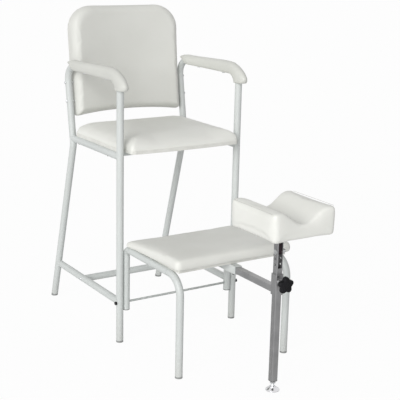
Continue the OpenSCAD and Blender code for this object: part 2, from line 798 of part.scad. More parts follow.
module bench_front_leg_right() {
    bench_front_leg(1);
}

module bench_spigots() {
    d = tube_d - 2 * tube_wall - 2 * fit_gap;
    place() color("dimgray") both_sides(bench_x) translate([0, 0, bench_rail_z]) {
        rod_y(-bench_rail_back - bench_spigot_l, -bench_rail_back + bench_lead_in, d);
        rod_y(-bench_rail_front - bench_lead_in, -bench_rail_front + bench_spigot_l, d);
    }
}

module bench_glides() {
    place() color("dimgray") both_sides(bench_x) translate([0, -bench_leg_y, 0]) straight_glide();
}

module bench_tube_caps() {
    cap_t = 2 * over;
    place() color("dimgray") both_sides(bench_x) translate([0, 0, bench_tail_z - cap_t]) {
        cylinder(h = cap_t - weld_gap, d = tube_d);
        cylinder(h = cap_t + tube_wall * 8, d = tube_d - 2 * tube_wall - 2 * fit_gap);
    }
}

module bench_rear_rail() {
    place() color("gainsboro") difference() {
        tube_x(-bench_x, bench_x, -bench_cross_y, bench_rail_z);
        both_sides(bench_x) saddle_y(bench_rail_z);
        for (s = [-1, 1]) translate([s * bench_screw_x, -bench_cross_y, bench_rail_z - tube_d])
            cylinder(h = 2 * tube_d, d = screw_d + 2 * fit_gap);
    }
}

bench_screw_x = 0.55 * bench_x;

module bench_mid_rails() {
    place() color("gainsboro") for (s = [0, 1]) mirror([s, 0, 0]) difference() {
        tube_x(socket_w / 2 + weld_gap, bench_x, -bench_mid_y, bench_rail_z);
        both_sides(bench_x) saddle_y(bench_rail_z);
        translate([bench_screw_x, -bench_mid_y, bench_rail_z - tube_d])
            cylinder(h = 2 * tube_d, d = screw_d + 2 * fit_gap);
    }
}

module arm_socket() {
    place() color("gainsboro") difference() {
        translate([0, -socket_front, arm_bar_z]) rotate([-90, 0, 0])
            square_tube(socket_w, socket_wall, socket_front - bench_cross_y - tube_wall);
        saddle_x(-bench_cross_y, bench_rail_z);
        translate([0, -lock_screw_y, arm_bar_z - socket_w])
            cylinder(h = socket_w, d = lock_screw_d + 2 * run_gap);
    }
}

module arm_lock_screw() {
    place() color("black") translate([0, -lock_screw_y, arm_bar_z - socket_w / 2 - fit_gap]) {
        translate([0, 0, -bolt_head_d / 2]) cylinder(h = bolt_head_d / 2, d = 2 * lock_screw_d);
        cylinder(h = socket_wall + fit_gap + weld_gap, d = lock_screw_d);
    }
}

function bench_corners(g) = let (w = bench_w / 2 - g, a = -bench_leg_y - bench_overhang + g,
    b = -bench_back_gap - g) [[w, a], [w, b], [-w, b], [-w, a]];
bench_mid = [0, -(bench_leg_y + bench_overhang + bench_back_gap) / 2];
bench_outline = function(g) outline(bench_corners(g), [1, 0.6, 0.6, 1] * bench_corner_r, [3, 3, 3, 3],
    [8, 8, 8, 8], [1, 1, 1, 1] * bench_edge_r * 0.3, g);
bench_rise_at = function(q)
    max(0, min(1, (-bench_back_gap - q[1]) / (bench_leg_y + bench_overhang - bench_back_gap)));
bench_low_at = function(q) bench_low + bench_lift * bench_rise_at(q);
bench_top_at = function(q)
    bench_low + bench_back_t + (bench_front_t - bench_back_t) * sin(90 * bench_rise_at(q));
bench_side_shares = [[0.7, 0], [0.15, 0.1], [0, 0.35], [0.1, 0.6], [0.45, 0.78], [1, 0.88]];

module bench_cushion() {
    sides = [for (e = bench_side_shares) [e[0] * bench_edge_r, e[1]]];
    ceiling = bench_board_z + bench_board_t + soft_gap;
    place() color("whitesmoke") skin(
        cushion_rings(bench_outline, bench_mid, [1], bench_pocket_in, function(q) ceiling,
            concat([[bench_pocket_in, 0]], sides), [0.92, 0.78, 0.55, 0.28], 3, bench_low_at, bench_top_at),
        [0, bench_mid[1], ceiling], [0, bench_mid[1], bench_top_at(bench_mid)]);
}

module bench_board() {
    place() color("ivory") difference() {
        translate([0, 0, bench_board_z]) linear_extrude(bench_board_t) polygon(bench_outline(bench_side));
        for (s = [-1, 1], y = [bench_cross_y, bench_mid_y])
            translate([s * bench_screw_x, -y, bench_board_z - over])
                cylinder(h = bench_board_t, d = screw_d + 2 * run_gap);
    }
}

module bench_board_screws() {
    place() color("silver") for (s = [-1, 1], y = [bench_cross_y, bench_mid_y])
        translate([s * bench_screw_x, -y, bench_rail_z - tube_d / 2 - fit_gap])
            screw_z(tube_d + bench_board_t - 2 * over, screw_d);
}

// Leg rest arm, sleeve and clamp

sleeve_w = socket_w;
cap_flange = 2 * over;

module extension_arm() {
    place() color("silver") translate([0, -post_y + sleeve_w / 2 + weld_gap, arm_bar_z]) rotate([-90, 0, 0])
        square_tube(bar_w, bar_wall, post_y - sleeve_w / 2 - arm_rear - cap_flange - 2 * weld_gap);
}

module arm_end_plug() {
    place() color("dimgray") translate([0, -arm_rear - cap_flange, arm_bar_z]) rotate([90, 0, 0])
        square_plug(bar_w, bar_wall, cap_flange, bar_w / 2);
}

module post_place() {
    place() translate([0, -post_y, 0]) children();
}

module post_sleeve() {
    front = -sleeve_w / 2;
    oval = [0.3 * bar_w, 0.55 * bar_w];
    post_place() color("silver") difference() {
        translate([0, 0, sleeve_z]) square_tube(sleeve_w, socket_wall, sleeve_h);
        translate([0, 0, clamp_z]) rod_y(front - over, 0, clamp_screw_d + 2 * run_gap);
        for (f = [-1, 1]) translate([-bar_w / 4, 0, clamp_z + 0.7 * bar_w + f * (oval[1] - oval[0]) / 2])
            rod_y(front - over, 0, oval[0]);
        translate([-bar_w / 4 - oval[0] / 2, front - over, clamp_z + 0.7 * bar_w - (oval[1] - oval[0]) / 2])
            cube([oval[0], sleeve_w / 2, oval[1] - oval[0]]);
    }
}

module clamp_boss() {
    post_place() color("silver") translate([0, 0, clamp_z]) difference() {
        rod_y(-sleeve_w / 2 - boss_h, -sleeve_w / 2 - weld_gap, boss_d);
        rod_y(-sleeve_w / 2 - boss_h - over, 0, clamp_screw_d + 2 * run_gap);
    }
}

tip_front = -bar_w / 2 - soft_gap - tip_l;

module clamp_tip() {
    post_place() color("ivory") translate([0, 0, clamp_z]) {
        rod_y(tip_front, tip_front + tip_l, clamp_screw_d - over);
        rod_y(tip_front - tip_l, tip_front, clamp_screw_d / 2);
    }
}

knob_back = -sleeve_w / 2 - boss_h - knob_neck;

module clamp_screw() {
    post_place() color("silver") translate([0, 0, clamp_z]) difference() {
        rod_y(knob_back - knob_t * 0.7, tip_front - run_gap, clamp_screw_d);
        rod_y(tip_front - tip_l - fit_gap, tip_front, clamp_screw_d / 2 + 2 * run_gap);
    }
}

module star_knob() {
    lobe_d = knob_d * 0.34;
    post_place() color("black") translate([0, 0, clamp_z]) difference() {
        union() {
            translate([0, knob_back - knob_t, 0]) rotate([-90, 0, 0]) linear_extrude(knob_t) {
                circle(d = knob_d * 0.64);
                for (i = [0:knob_lobes - 1]) rotate(360 * i / knob_lobes - 90)
                    translate([(knob_d - lobe_d) / 2, 0]) circle(d = lobe_d);
            }
            rod_y(knob_back - knob_t / 2, knob_back + knob_neck / 2, knob_d * 0.3);
        }
        rod_y(knob_back - knob_t * 0.7 - fit_gap, knob_back + knob_neck, clamp_screw_d + 2 * fit_gap);
    }
}

// Post and foot

post_hole_d = 7;
post_hole_zs = [pivot_z - bar_w, pivot_z - bar_w * 1.86];

module height_post() {
    post_place() color("silver") difference() {
        translate([0, 0, post_bottom]) square_tube(bar_w, bar_wall, post_top - post_bottom);
        translate([-slot_w / 2, -bar_w, slot_z])
            cube([slot_w, bar_w / 2 + bar_wall, post_top - slot_z + over]);
        for (z = post_hole_zs) translate([0, 0, z]) rod_x(-bar_w, bar_w, post_hole_d);
        translate([0, 0, pivot_z]) rod_x(-bar_w, bar_w, pivot_d + 2 * fit_gap);
    }
}

module post_end_plug() {
    post_place() color("dimgray") difference() {
        translate([0, 0, post_bottom - weld_gap]) square_plug(bar_w, bar_wall, cap_flange, bar_w);
        cylinder(h = 2 * stud_top, d = stud_d + 2 * fit_gap);
    }
}

module foot_lock_nut() {
    nut_z = post_bottom - cap_flange - nut_h - 2 * weld_gap;
    post_place() color("silver") translate([0, 0, nut_z]) difference() {
        cylinder(h = nut_h, d = nut_w / cos(30), $fn = 6);
        translate([0, 0, -over]) cylinder(h = nut_h + 2 * over, d = stud_d + 2 * run_gap);
    }
}

foot_seat = 0.3 * foot_h;

module foot_stud() {
    post_place() color("silver") translate([0, 0, foot_seat + fit_gap])
        cylinder(h = stud_top - foot_seat, d = stud_d);
}

module foot_pad() {
    hub_d = 2 * stud_d;
    rim = 0.16 * foot_h;
    // Radius of the dome's profile through the rim's edge and the hub's edge
    run = (foot_d - hub_d) / 2;
    rise = 0.8 * foot_h - rim;
    r = (run * run + rise * rise) / (2 * rise);
    post_place() color("lightgray") difference() {
        union() {
            cylinder(h = rim, d = foot_d);
            cylinder(h = foot_h, d = hub_d);
            translate([0, 0, rim]) cylinder(h = rise * 0.6, d1 = foot_d - rim, d2 = foot_d * 0.68);
            translate([0, 0, rim + rise * 0.6]) cylinder(h = rise * 0.4, d1 = foot_d * 0.68, d2 = hub_d);
        }
        translate([0, 0, foot_seat]) cylinder(h = foot_h, d = stud_d + 2 * run_gap);
    }
}

// Pivot and leg rest

module pivot_bolt() {
    post_place() color("silver") translate([0, 0, pivot_z]) {
        rod_x(-bar_w / 2 - weld_gap, bar_w / 2 + pivot_d, pivot_d);
        rod_x(-bar_w / 2 - weld_gap - bar_wall * 0.8, -bar_w / 2 - weld_gap, 2 * pivot_d);
    }
}

module pivot_nut() {
    post_place() color("lightgray") translate([bar_w / 2 + weld_gap, 0, pivot_z]) difference() {
        union() {
            rod_x(0, pivot_d, 2 * pivot_d);
            rod_x(0, pivot_d * 3 / 2, pivot_d * 3 / 2);
        }
        rod_x(-over, pivot_d + weld_gap, pivot_d + 2 * run_gap);
    }
}

module pivot_washers() {
    gap = bar_w / 2 - bar_wall - stem_w / 2;
    post_place() color("ivory") translate([0, 0, pivot_z]) for (s = [0, 1]) mirror([s, 0, 0]) difference() {
        rod_x(stem_w / 2 + fit_gap, stem_w / 2 + gap - fit_gap, 2 * pivot_d - 2 * over);
        rod_x(0, bar_w, pivot_d + 2 * fit_gap);
    }
}

plate_z = rest_z - plate_t - weld_gap;

module rest_stem() {
    post_place() color("silver") difference() {
        union() {
            translate([-stem_w / 2, -stem_t / 2, pivot_z])
                cube([stem_w, stem_t, plate_z - weld_gap - pivot_z]);
            translate([0, 0, pivot_z]) rod_x(-stem_w / 2, stem_w / 2, stem_t);
        }
        translate([0, 0, pivot_z]) rod_x(-bar_w, bar_w, pivot_d + 2 * run_gap);
    }
}

rest_screw_places = [for (x = [-1, 1], y = [-1, 1]) [x * plate_w * 0.38, y * plate_l * 0.4]];

module rest_place() {
    post_place() translate([0, -rest_lead, 0]) children();
}

module rest_plate() {
    rest_place() color("dimgray") difference() {
        translate([-plate_w / 2, -plate_l / 2, plate_z]) cube([plate_w, plate_l, plate_t]);
        for (q = rest_screw_places) translate([q[0], q[1], plate_z - over])
            cylinder(h = plate_t + 2 * over, d = screw_d + 2 * fit_gap);
    }
}

function rest_corners(g) = let (w = rest_w / 2 - g, l = rest_l / 2 - g) [[w, -l], [w, l], [-w, l], [-w, -l]];
rest_outline = function(g) outline(rest_corners(g), [1, 1, 1, 1] * rest_corner_r, [3, 3, 3, 3],
    [7, 14, 7, 14], [1, 1, 1, 1] * rest_edge_r * 0.2, g);
rest_low_at = function(q) rest_z;
valley_share = 0.82;
rest_top_at = function(q) let (u = min(1, abs(q[0]) / (rest_w / 2 * valley_share)),
    dish = valley_dish * max(0, 1 - pow(q[1] / (rest_l / 2), 2)))
    rest_z + rest_h - (valley_depth + dish) * (1 + cos(180 * u)) / 2;
rest_side_shares = [[0.25, 0], [0.04, 0.06], [0, 0.35], [0.03, 0.7], [0.25, 0.9], [0.9, 0.985]];

module leg_rest_cushion() {
    sides = [for (e = rest_side_shares) [e[0] * rest_edge_r, e[1]]];
    ceiling = rest_z + rest_board_t + soft_gap;
    rest_place() color("whitesmoke") skin(
        cushion_rings(rest_outline, [0, 0], [1], rest_pocket_in, function(q) ceiling,
            concat([[rest_pocket_in, 0]], sides), [0.93, 0.84, 0.72, 0.56, 0.38, 0.2], 3,
            rest_low_at, rest_top_at),
        [0, 0, ceiling], [0, 0, rest_top_at([0, 0])]);
}

module rest_board() {
    rest_place() color("ivory") difference() {
        translate([0, 0, rest_z]) linear_extrude(rest_board_t)
            polygon(rest_outline(rest_pocket_in + soft_gap));
        for (q = rest_screw_places) translate([q[0], q[1], rest_z - over])
            cylinder(h = rest_board_t, d = screw_d + 2 * run_gap);
    }
}

module rest_screws() {
    rest_place() color("silver") for (q = rest_screw_places) translate([q[0], q[1], plate_z - fit_gap])
        screw_z(plate_t + rest_board_t - 2 * over, screw_d);
}

side_frame_left();
side_frame_right();
chair_leg_glides();
seat_rail_left();
seat_rail_right();
seat_cross_rails();
side_stretcher_left();
side_stretcher_right();
cross_brace();
stretcher_bolts();
seat_board();
seat_cushion();
seat_screws();
back_frame();
back_panel();
back_cushion();
back_bolts();
arm_pad_left();
arm_pad_right();
arm_pad_screws();
tie_rod();
tie_rod_nuts();
bench_rear_leg_left();
bench_rear_leg_right();
bench_side_rail_left();
bench_side_rail_right();
bench_front_leg_left();
bench_front_leg_right();
bench_spigots();
bench_glides();
bench_tube_caps();
bench_rear_rail();
bench_mid_rails();
arm_socket();
arm_lock_screw();
bench_board();
bench_cushion();
bench_board_screws();
extension_arm();
arm_end_plug();
post_sleeve();
clamp_boss();
clamp_tip();
clamp_screw();
star_knob();
height_post();
post_end_plug();
foot_lock_nut();
foot_stud();
foot_pad();
pivot_bolt();
pivot_nut();
pivot_washers();
rest_stem();
rest_plate();
rest_board();
leg_rest_cushion();
rest_screws();
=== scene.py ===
# %% [markdown]
# # A pedicure chair
# A tall white tubular armchair, a low padded bench fixed in front of it, and a leg rest on a post that
# slides, lifts and tilts. The CAD part gives the sizes and the moving bodies. This script gives each
# cushion its soft form, each tube its bends and weld beads, and each surface its finish.

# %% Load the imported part
import json
import math

import bmesh
import bpy
import numpy as np
from mathutils import Matrix, Vector
from mathutils.geometry import delaunay_2d_cdt

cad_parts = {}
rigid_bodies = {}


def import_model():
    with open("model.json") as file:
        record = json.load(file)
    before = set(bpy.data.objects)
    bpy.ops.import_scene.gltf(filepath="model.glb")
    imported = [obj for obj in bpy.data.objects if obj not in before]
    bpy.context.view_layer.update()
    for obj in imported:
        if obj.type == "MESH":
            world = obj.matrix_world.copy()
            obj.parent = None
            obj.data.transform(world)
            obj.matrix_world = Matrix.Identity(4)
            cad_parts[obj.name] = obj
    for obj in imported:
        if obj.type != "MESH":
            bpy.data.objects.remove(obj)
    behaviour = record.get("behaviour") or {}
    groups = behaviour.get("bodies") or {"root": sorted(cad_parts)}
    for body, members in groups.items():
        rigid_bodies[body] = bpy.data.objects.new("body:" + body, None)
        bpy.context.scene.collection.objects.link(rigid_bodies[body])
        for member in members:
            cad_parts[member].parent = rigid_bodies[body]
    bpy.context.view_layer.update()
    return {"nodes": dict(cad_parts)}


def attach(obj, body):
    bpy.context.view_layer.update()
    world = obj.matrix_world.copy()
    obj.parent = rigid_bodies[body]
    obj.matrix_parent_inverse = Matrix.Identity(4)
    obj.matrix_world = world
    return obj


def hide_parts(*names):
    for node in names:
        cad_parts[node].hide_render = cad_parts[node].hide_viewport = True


for leftover in list(bpy.data.objects):
    bpy.data.objects.remove(leftover)
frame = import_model()
scene = bpy.context.scene

# %% [markdown]
# ## Measures
# The CAD part is drawn in millimetres with Y = 0 at the chair's front legs, and is then moved so that its
# footprint is centred. The same is done here, so that a number read off the part can be used as it is.

# %% Measures shared by many pieces
MM = 0.001
Y_SHIFT = 77.09

# Round tube, and how far the chair's and the bench's tubes stand from the middle
TUBE_R = 12.5
FRAME_X = 238.0
BENCH_X = 212.8

# Heights of the axes of the level tubes
ARM_Z = 931.0
SEAT_RAIL_Z = 667.7
BENCH_RAIL_Z = 340.6
STRETCHER_Z = 148.3

# The rear leg splays from the kink down to the foot, and the upright leans back above it
FOOT_REACH = 550.8
SPLAY_TURN = math.radians(16.25)
LEAN_TURN = math.radians(9.3)
SPLAY, LEAN = math.tan(SPLAY_TURN), math.tan(LEAN_TURN)
KINK_Z = 645.0
KINK_Y = FOOT_REACH - KINK_Z * SPLAY

# The leg rest's post, the arm that carries it and the knob that clamps it
POST_Y = -586.0
REST_ARM_Z = 338.5
KNOB_Z = 366.0


def place(points):
    """Points in millimetres, with Y = 0 at the front legs, as metres in the part's frame."""
    moved = np.array(points, float)
    moved[:, 1] += Y_SHIFT
    return moved * MM


def unit(v):
    """A direction of length one."""
    return v / np.linalg.norm(v)


def link(obj):
    """Puts a new object into the scene."""
    scene.collection.objects.link(obj)
    return obj


print("splayed leg and upright meet at height", KINK_Z, "and depth", round(KINK_Y, 1))


# %% [markdown]
# ## Finishes
# Real finishes are never one flat colour: vinyl has a fine grain and drifts slightly in tone, powder coat has
# a soft orange peel, and drawn steel bars have lines along them. Each such effect is one node group, built
# once and placed in every material that needs it, with its own values. The shader itself stays in the
# material, where an exporter can read it.

# %% Node group builder
def effect(name, inputs, outputs):
    """An empty shader group with named inputs and outputs, ready for its nodes."""
    tree = bpy.data.node_groups.new(name, "ShaderNodeTree")
    for label, kind, default in inputs:
        socket = tree.interface.new_socket(label, in_out="INPUT", socket_type="NodeSocket" + kind)
        socket.default_value = default
    for label, kind in outputs:
        tree.interface.new_socket(label, in_out="OUTPUT", socket_type="NodeSocket" + kind)
    return tree, tree.nodes.new("NodeGroupInput"), tree.nodes.new("NodeGroupOutput")


def noise_on(tree, scale_from, detail, roughness=0.5):
    """A noise texture on Object coordinates, whose scale comes from a socket."""
    place_on = tree.nodes.new("ShaderNodeTexCoord")
    noise = tree.nodes.new("ShaderNodeTexNoise")
    noise.inputs["Detail"].default_value = detail
    noise.inputs["Roughness"].default_value = roughness
    tree.links.new(place_on.outputs["Object"], noise.inputs["Vector"])
    tree.links.new(scale_from, noise.inputs["Scale"])
    return noise


def spread(tree, value, low, high, to_low, to_high):
    """Maps a range of a value onto another range, clamped."""
    ramp = tree.nodes.new("ShaderNodeMapRange")
    for label, number in (("From Min", low), ("From Max", high), ("To Min", to_low), ("To Max", to_high)):
        if hasattr(number, "links"):
            tree.links.new(number, ramp.inputs[label])
        else:
            ramp.inputs[label].default_value = number
    tree.links.new(value, ramp.inputs["Value"])
    return ramp.outputs["Result"]


# %% Tone and roughness that drift over a surface
drift, drift_in, drift_out = effect(
    "Tone drift",
    [("Light", "Color", (1, 1, 1, 1)), ("Dark", "Color", (0.9, 0.9, 0.9, 1)), ("Scale", "Float", 6.0),
     ("Smooth", "Float", 0.4), ("Rough", "Float", 0.5)],
    [("Color", "Color"), ("Roughness", "Float")])
cloud = noise_on(drift, drift_in.outputs["Scale"], 4.0)
blend = drift.nodes.new("ShaderNodeMix")
blend.data_type = "RGBA"
drift.links.new(spread(drift, cloud.outputs["Fac"], 0.35, 0.65, 0.0, 1.0), blend.inputs["Factor"])
drift.links.new(drift_in.outputs["Light"], blend.inputs["A"])
drift.links.new(drift_in.outputs["Dark"], blend.inputs["B"])
drift.links.new(blend.outputs["Result"], drift_out.inputs["Color"])
gloss = spread(drift, cloud.outputs["Fac"], 0.3, 0.7, drift_in.outputs["Smooth"], drift_in.outputs["Rough"])
drift.links.new(gloss, drift_out.inputs["Roughness"])

# %% Grain of upholstery vinyl
grain, grain_in, grain_out = effect("Vinyl grain", [("Cells", "Float", 900.0), ("Pull", "Float", 26.0)],
                                    [("Height", "Float")])
grain_place = grain.nodes.new("ShaderNodeTexCoord")
cells = grain.nodes.new("ShaderNodeTexVoronoi")
cells.feature = "SMOOTH_F1"
grain.links.new(grain_place.outputs["Object"], cells.inputs["Vector"])
grain.links.new(grain_in.outputs["Cells"], cells.inputs["Scale"])
pull = noise_on(grain, grain_in.outputs["Pull"], 3.0)
grain_sum = grain.nodes.new("ShaderNodeMath")
grain_sum.operation = "MULTIPLY_ADD"
grain_sum.inputs[1].default_value = 2.4
grain.links.new(pull.outputs["Fac"], grain_sum.inputs[0])
grain.links.new(cells.outputs["Distance"], grain_sum.inputs[2])
grain.links.new(grain_sum.outputs["Value"], grain_out.inputs["Height"])

# %% Orange peel of sprayed and moulded surfaces
peel, peel_in, peel_out = effect("Orange peel", [("Scale", "Float", 450.0)], [("Height", "Float")])
peel_noise = noise_on(peel, peel_in.outputs["Scale"], 2.0)
peel.links.new(peel_noise.outputs["Fac"], peel_out.inputs["Height"])

# %% Lines along drawn steel
lines, lines_in, lines_out = effect("Drawn lines", [("Stretch", "Vector", (900.0, 30.0, 900.0))],
                                    [("Height", "Float"), ("Streak", "Float")])
lines_place = lines.nodes.new("ShaderNodeTexCoord")
lines_map = lines.nodes.new("ShaderNodeMapping")
lines_map.vector_type = "POINT"
lines_noise = lines.nodes.new("ShaderNodeTexNoise")
lines_noise.inputs["Scale"].default_value = 1.0
lines_noise.inputs["Detail"].default_value = 3.0
lines.links.new(lines_place.outputs["Object"], lines_map.inputs["Vector"])
lines.links.new(lines_in.outputs["Stretch"], lines_map.inputs["Scale"])
lines.links.new(lines_map.outputs["Vector"], lines_noise.inputs["Vector"])
lines.links.new(lines_noise.outputs["Fac"], lines_out.inputs["Height"])
lines.links.new(spread(lines, lines_noise.outputs["Fac"], 0.3, 0.7, 0.0, 1.0), lines_out.inputs["Streak"])

# %% Dust and scuffs near the floor
dust, dust_in, dust_out = effect(
    "Floor dust", [("Color", "Color", (1, 1, 1, 1)), ("Soil", "Color", (0.4, 0.38, 0.35, 1)),
                   ("Reach", "Float", 0.12), ("Most", "Float", 0.35)], [("Color", "Color")])
dust_place = dust.nodes.new("ShaderNodeTexCoord")
dust_split = dust.nodes.new("ShaderNodeSeparateXYZ")
dust.links.new(dust_place.outputs["Object"], dust_split.inputs["Vector"])
dust_rise = spread(dust, dust_split.outputs["Z"], 0.0, dust_in.outputs["Reach"], dust_in.outputs["Most"], 0.0)
dust_spots = dust.nodes.new("ShaderNodeTexNoise")
dust_spots.inputs["Scale"].default_value = 60.0
dust_spots.inputs["Detail"].default_value = 5.0
dust.links.new(dust_place.outputs["Object"], dust_spots.inputs["Vector"])
dust_mask = dust.nodes.new("ShaderNodeMath")
dust_mask.operation = "MULTIPLY"
dust.links.new(dust_rise, dust_mask.inputs[0])
dust.links.new(dust_spots.outputs["Fac"], dust_mask.inputs[1])
dust_mix = dust.nodes.new("ShaderNodeMix")
dust_mix.data_type = "RGBA"
dust.links.new(dust_mask.outputs["Value"], dust_mix.inputs["Factor"])
dust.links.new(dust_in.outputs["Color"], dust_mix.inputs["A"])
dust.links.new(dust_in.outputs["Soil"], dust_mix.inputs["B"])
dust.links.new(dust_mix.outputs["Result"], dust_out.inputs["Color"])
print("effects:", [group.name for group in bpy.data.node_groups])


# %% [markdown]
# ## Materials
# Every material is the same short recipe: the tone drift feeds colour and roughness, and one surface effect
# feeds a bump. What differs is the values. A number that is the same all over, such as the metallic share of
# a plain metal, is set on the shader's own socket.

# %% Material recipe
def finish(name, light, dark, rough, scale=6.0, surface=None, surface_values=None, bump=0.1, depth=0.0002,
           soiled=0.0, **sockets):
    """A procedural material: drifting tone and roughness, and a bump from one surface effect."""
    material = bpy.data.materials.new(name)
    material.use_nodes = True
    tree = material.node_tree
    shader = tree.nodes["Principled BSDF"]
    tone = tree.nodes.new("ShaderNodeGroup")
    tone.node_tree = drift
    for label, value in (("Light", (*light, 1)), ("Dark", (*dark, 1)), ("Scale", scale),
                         ("Smooth", rough[0]), ("Rough", rough[1])):
        tone.inputs[label].default_value = value
    color = tone.outputs["Color"]
    if soiled:
        soil = tree.nodes.new("ShaderNodeGroup")
        soil.node_tree = dust
        soil.inputs["Most"].default_value = soiled
        tree.links.new(color, soil.inputs["Color"])
        color = soil.outputs["Color"]
    tree.links.new(color, shader.inputs["Base Color"])
    tree.links.new(tone.outputs["Roughness"], shader.inputs["Roughness"])
    if surface:
        relief = tree.nodes.new("ShaderNodeGroup")
        relief.node_tree = surface
        for label, value in (surface_values or {}).items():
            relief.inputs[label].default_value = value
        bumps = tree.nodes.new("ShaderNodeBump")
        bumps.inputs["Strength"].default_value = bump
        bumps.inputs["Distance"].default_value = depth
        tree.links.new(relief.outputs["Height"], bumps.inputs["Height"])
        tree.links.new(bumps.outputs["Normal"], shader.inputs["Normal"])
    for label, value in sockets.items():
        shader.inputs[label.replace("_", " ")].default_value = value
    return material


# %% [markdown]
# The covers are one off-white vinyl. The back and the arm pads get darker, greyer copies of it. That is
# painted shade: the darker colour stands in for the shade that falls on them.

# %% Vinyls of the covers
vinyl = finish("upholstery vinyl", (0.775, 0.778, 0.738), (0.755, 0.758, 0.716), (0.42, 0.52), 9.0, grain,
               bump=0.35, depth=0.0004)
# Painted shade: the back's vinyl is a darker copy of the cover vinyl, for the shade that falls on the back.
back_vinyl_painted_shade = finish("back vinyl darkened as painted shade", (0.70, 0.703, 0.666), (0.675, 0.678, 0.64), (0.45, 0.55), 7.0, grain,
                    bump=0.35, depth=0.0004)
# Painted shade: the arm pads' vinyl is a still darker copy of the cover vinyl, for the shade on the pads.
arm_vinyl_painted_shade = finish("arm pad vinyl darkened as painted shade", (0.63, 0.635, 0.597), (0.605, 0.61, 0.572), (0.42, 0.52), 9.0, grain,
                   bump=0.35, depth=0.0004)
# Painted shade: the welt's vinyl is darker than the cover, for the shade line along the leg rest's upper
# edges.
welt_vinyl_painted_shade = finish("vinyl welt darkened as painted shade", (0.60, 0.60, 0.565), (0.52, 0.52, 0.49), (0.5, 0.6), 40.0, grain,
                    bump=0.3, depth=0.0003)

# %% [markdown]
# The frame is powder coated white with some dust near the floor. The arm and the post of the leg rest are
# bare drawn steel, each with its lines along its own length. Screws and nuts are zinc plated or blackened.

# %% Paint and metals
paint = finish("white powder coat", (0.605, 0.63, 0.618), (0.575, 0.60, 0.588), (0.32, 0.44), 7.0, peel,
               {"Scale": 420.0}, 0.12, 0.0002, soiled=0.5)
bar_steel_y = finish("drawn steel along the arm", (0.40, 0.40, 0.405), (0.34, 0.34, 0.345), (0.36, 0.48),
                     18.0, lines, {"Stretch": (900.0, 25.0, 900.0)}, 0.25, 0.0002, Metallic=0.85)
bar_steel_z = finish("drawn steel along the post", (0.36, 0.36, 0.365), (0.30, 0.30, 0.305), (0.36, 0.48),
                     18.0, lines, {"Stretch": (900.0, 900.0, 25.0)}, 0.25, 0.0002, soiled=0.2, Metallic=0.85)
dark_steel = finish("dark steel", (0.034, 0.022, 0.026), (0.022, 0.014, 0.018), (0.55, 0.68), 30.0, peel,
                    {"Scale": 700.0}, 0.3, 0.0002, Specular_IOR_Level=0.15)
zinc = finish("zinc plate", (0.66, 0.67, 0.68), (0.56, 0.57, 0.58), (0.26, 0.40), 80.0, peel,
              {"Scale": 900.0}, 0.2, 0.0002, Metallic=1.0)
chrome = finish("polished chrome", (0.80, 0.80, 0.82), (0.74, 0.74, 0.76), (0.06, 0.14), 30.0, peel,
                {"Scale": 200.0}, 0.04, 0.0001, soiled=0.15, Metallic=1.0)
black_steel = finish("blackened steel", (0.022, 0.022, 0.024), (0.012, 0.012, 0.013), (0.38, 0.52), 90.0,
                     peel, {"Scale": 900.0}, 0.25, 0.0002, Metallic=0.3)
# Painted reflection: the tie rod's zinc is lighter and less metallic than the other zinc, standing in for the
# bright surroundings it reflects.
rod_zinc_painted_reflection = finish("zinc rod lightened as painted reflection", (0.62, 0.64, 0.63), (0.52, 0.54, 0.53), (0.35, 0.5), 80.0, peel,
                  {"Scale": 900.0}, 0.2, 0.0002, Metallic=0.35)

# %% [markdown]
# The knob, the plugs and the feet are moulded plastic with a fine texture. The boards under the cushions are
# white faced chipboard and show as a narrow pale band under an edge.

# %% Plastics and boards
black_plastic = finish("black moulded plastic", (0.012, 0.012, 0.014), (0.008, 0.008, 0.009), (0.42, 0.55),
                       60.0, peel, {"Scale": 1400.0}, 0.35, 0.0002, Specular_IOR_Level=0.12)
dark_plastic = finish("grey moulded plastic", (0.075, 0.075, 0.077), (0.05, 0.05, 0.052), (0.45, 0.6), 60.0,
                      peel, {"Scale": 1200.0}, 0.3, 0.0002, soiled=0.3)
nylon = finish("natural nylon", (0.74, 0.72, 0.64), (0.68, 0.66, 0.58), (0.4, 0.5), 60.0, peel,
               {"Scale": 900.0}, 0.2, 0.0002)
board = finish("white faced board", (0.74, 0.74, 0.70), (0.68, 0.68, 0.64), (0.45, 0.6), 30.0, peel,
               {"Scale": 300.0}, 0.15, 0.0002)
grey_plastic = finish("grey foot plastic", (0.30, 0.31, 0.31), (0.22, 0.23, 0.23), (0.5, 0.62), 60.0, peel,
                      {"Scale": 1200.0}, 0.3, 0.0002, soiled=0.3)
print("materials:", len(bpy.data.materials))

# %% [markdown]
# Every node that no softer or rounder piece replaces is seen as it comes from the CAD part. Each one gets its
# finish by name, and the replaced ones too, so that nothing is ever left without a material.

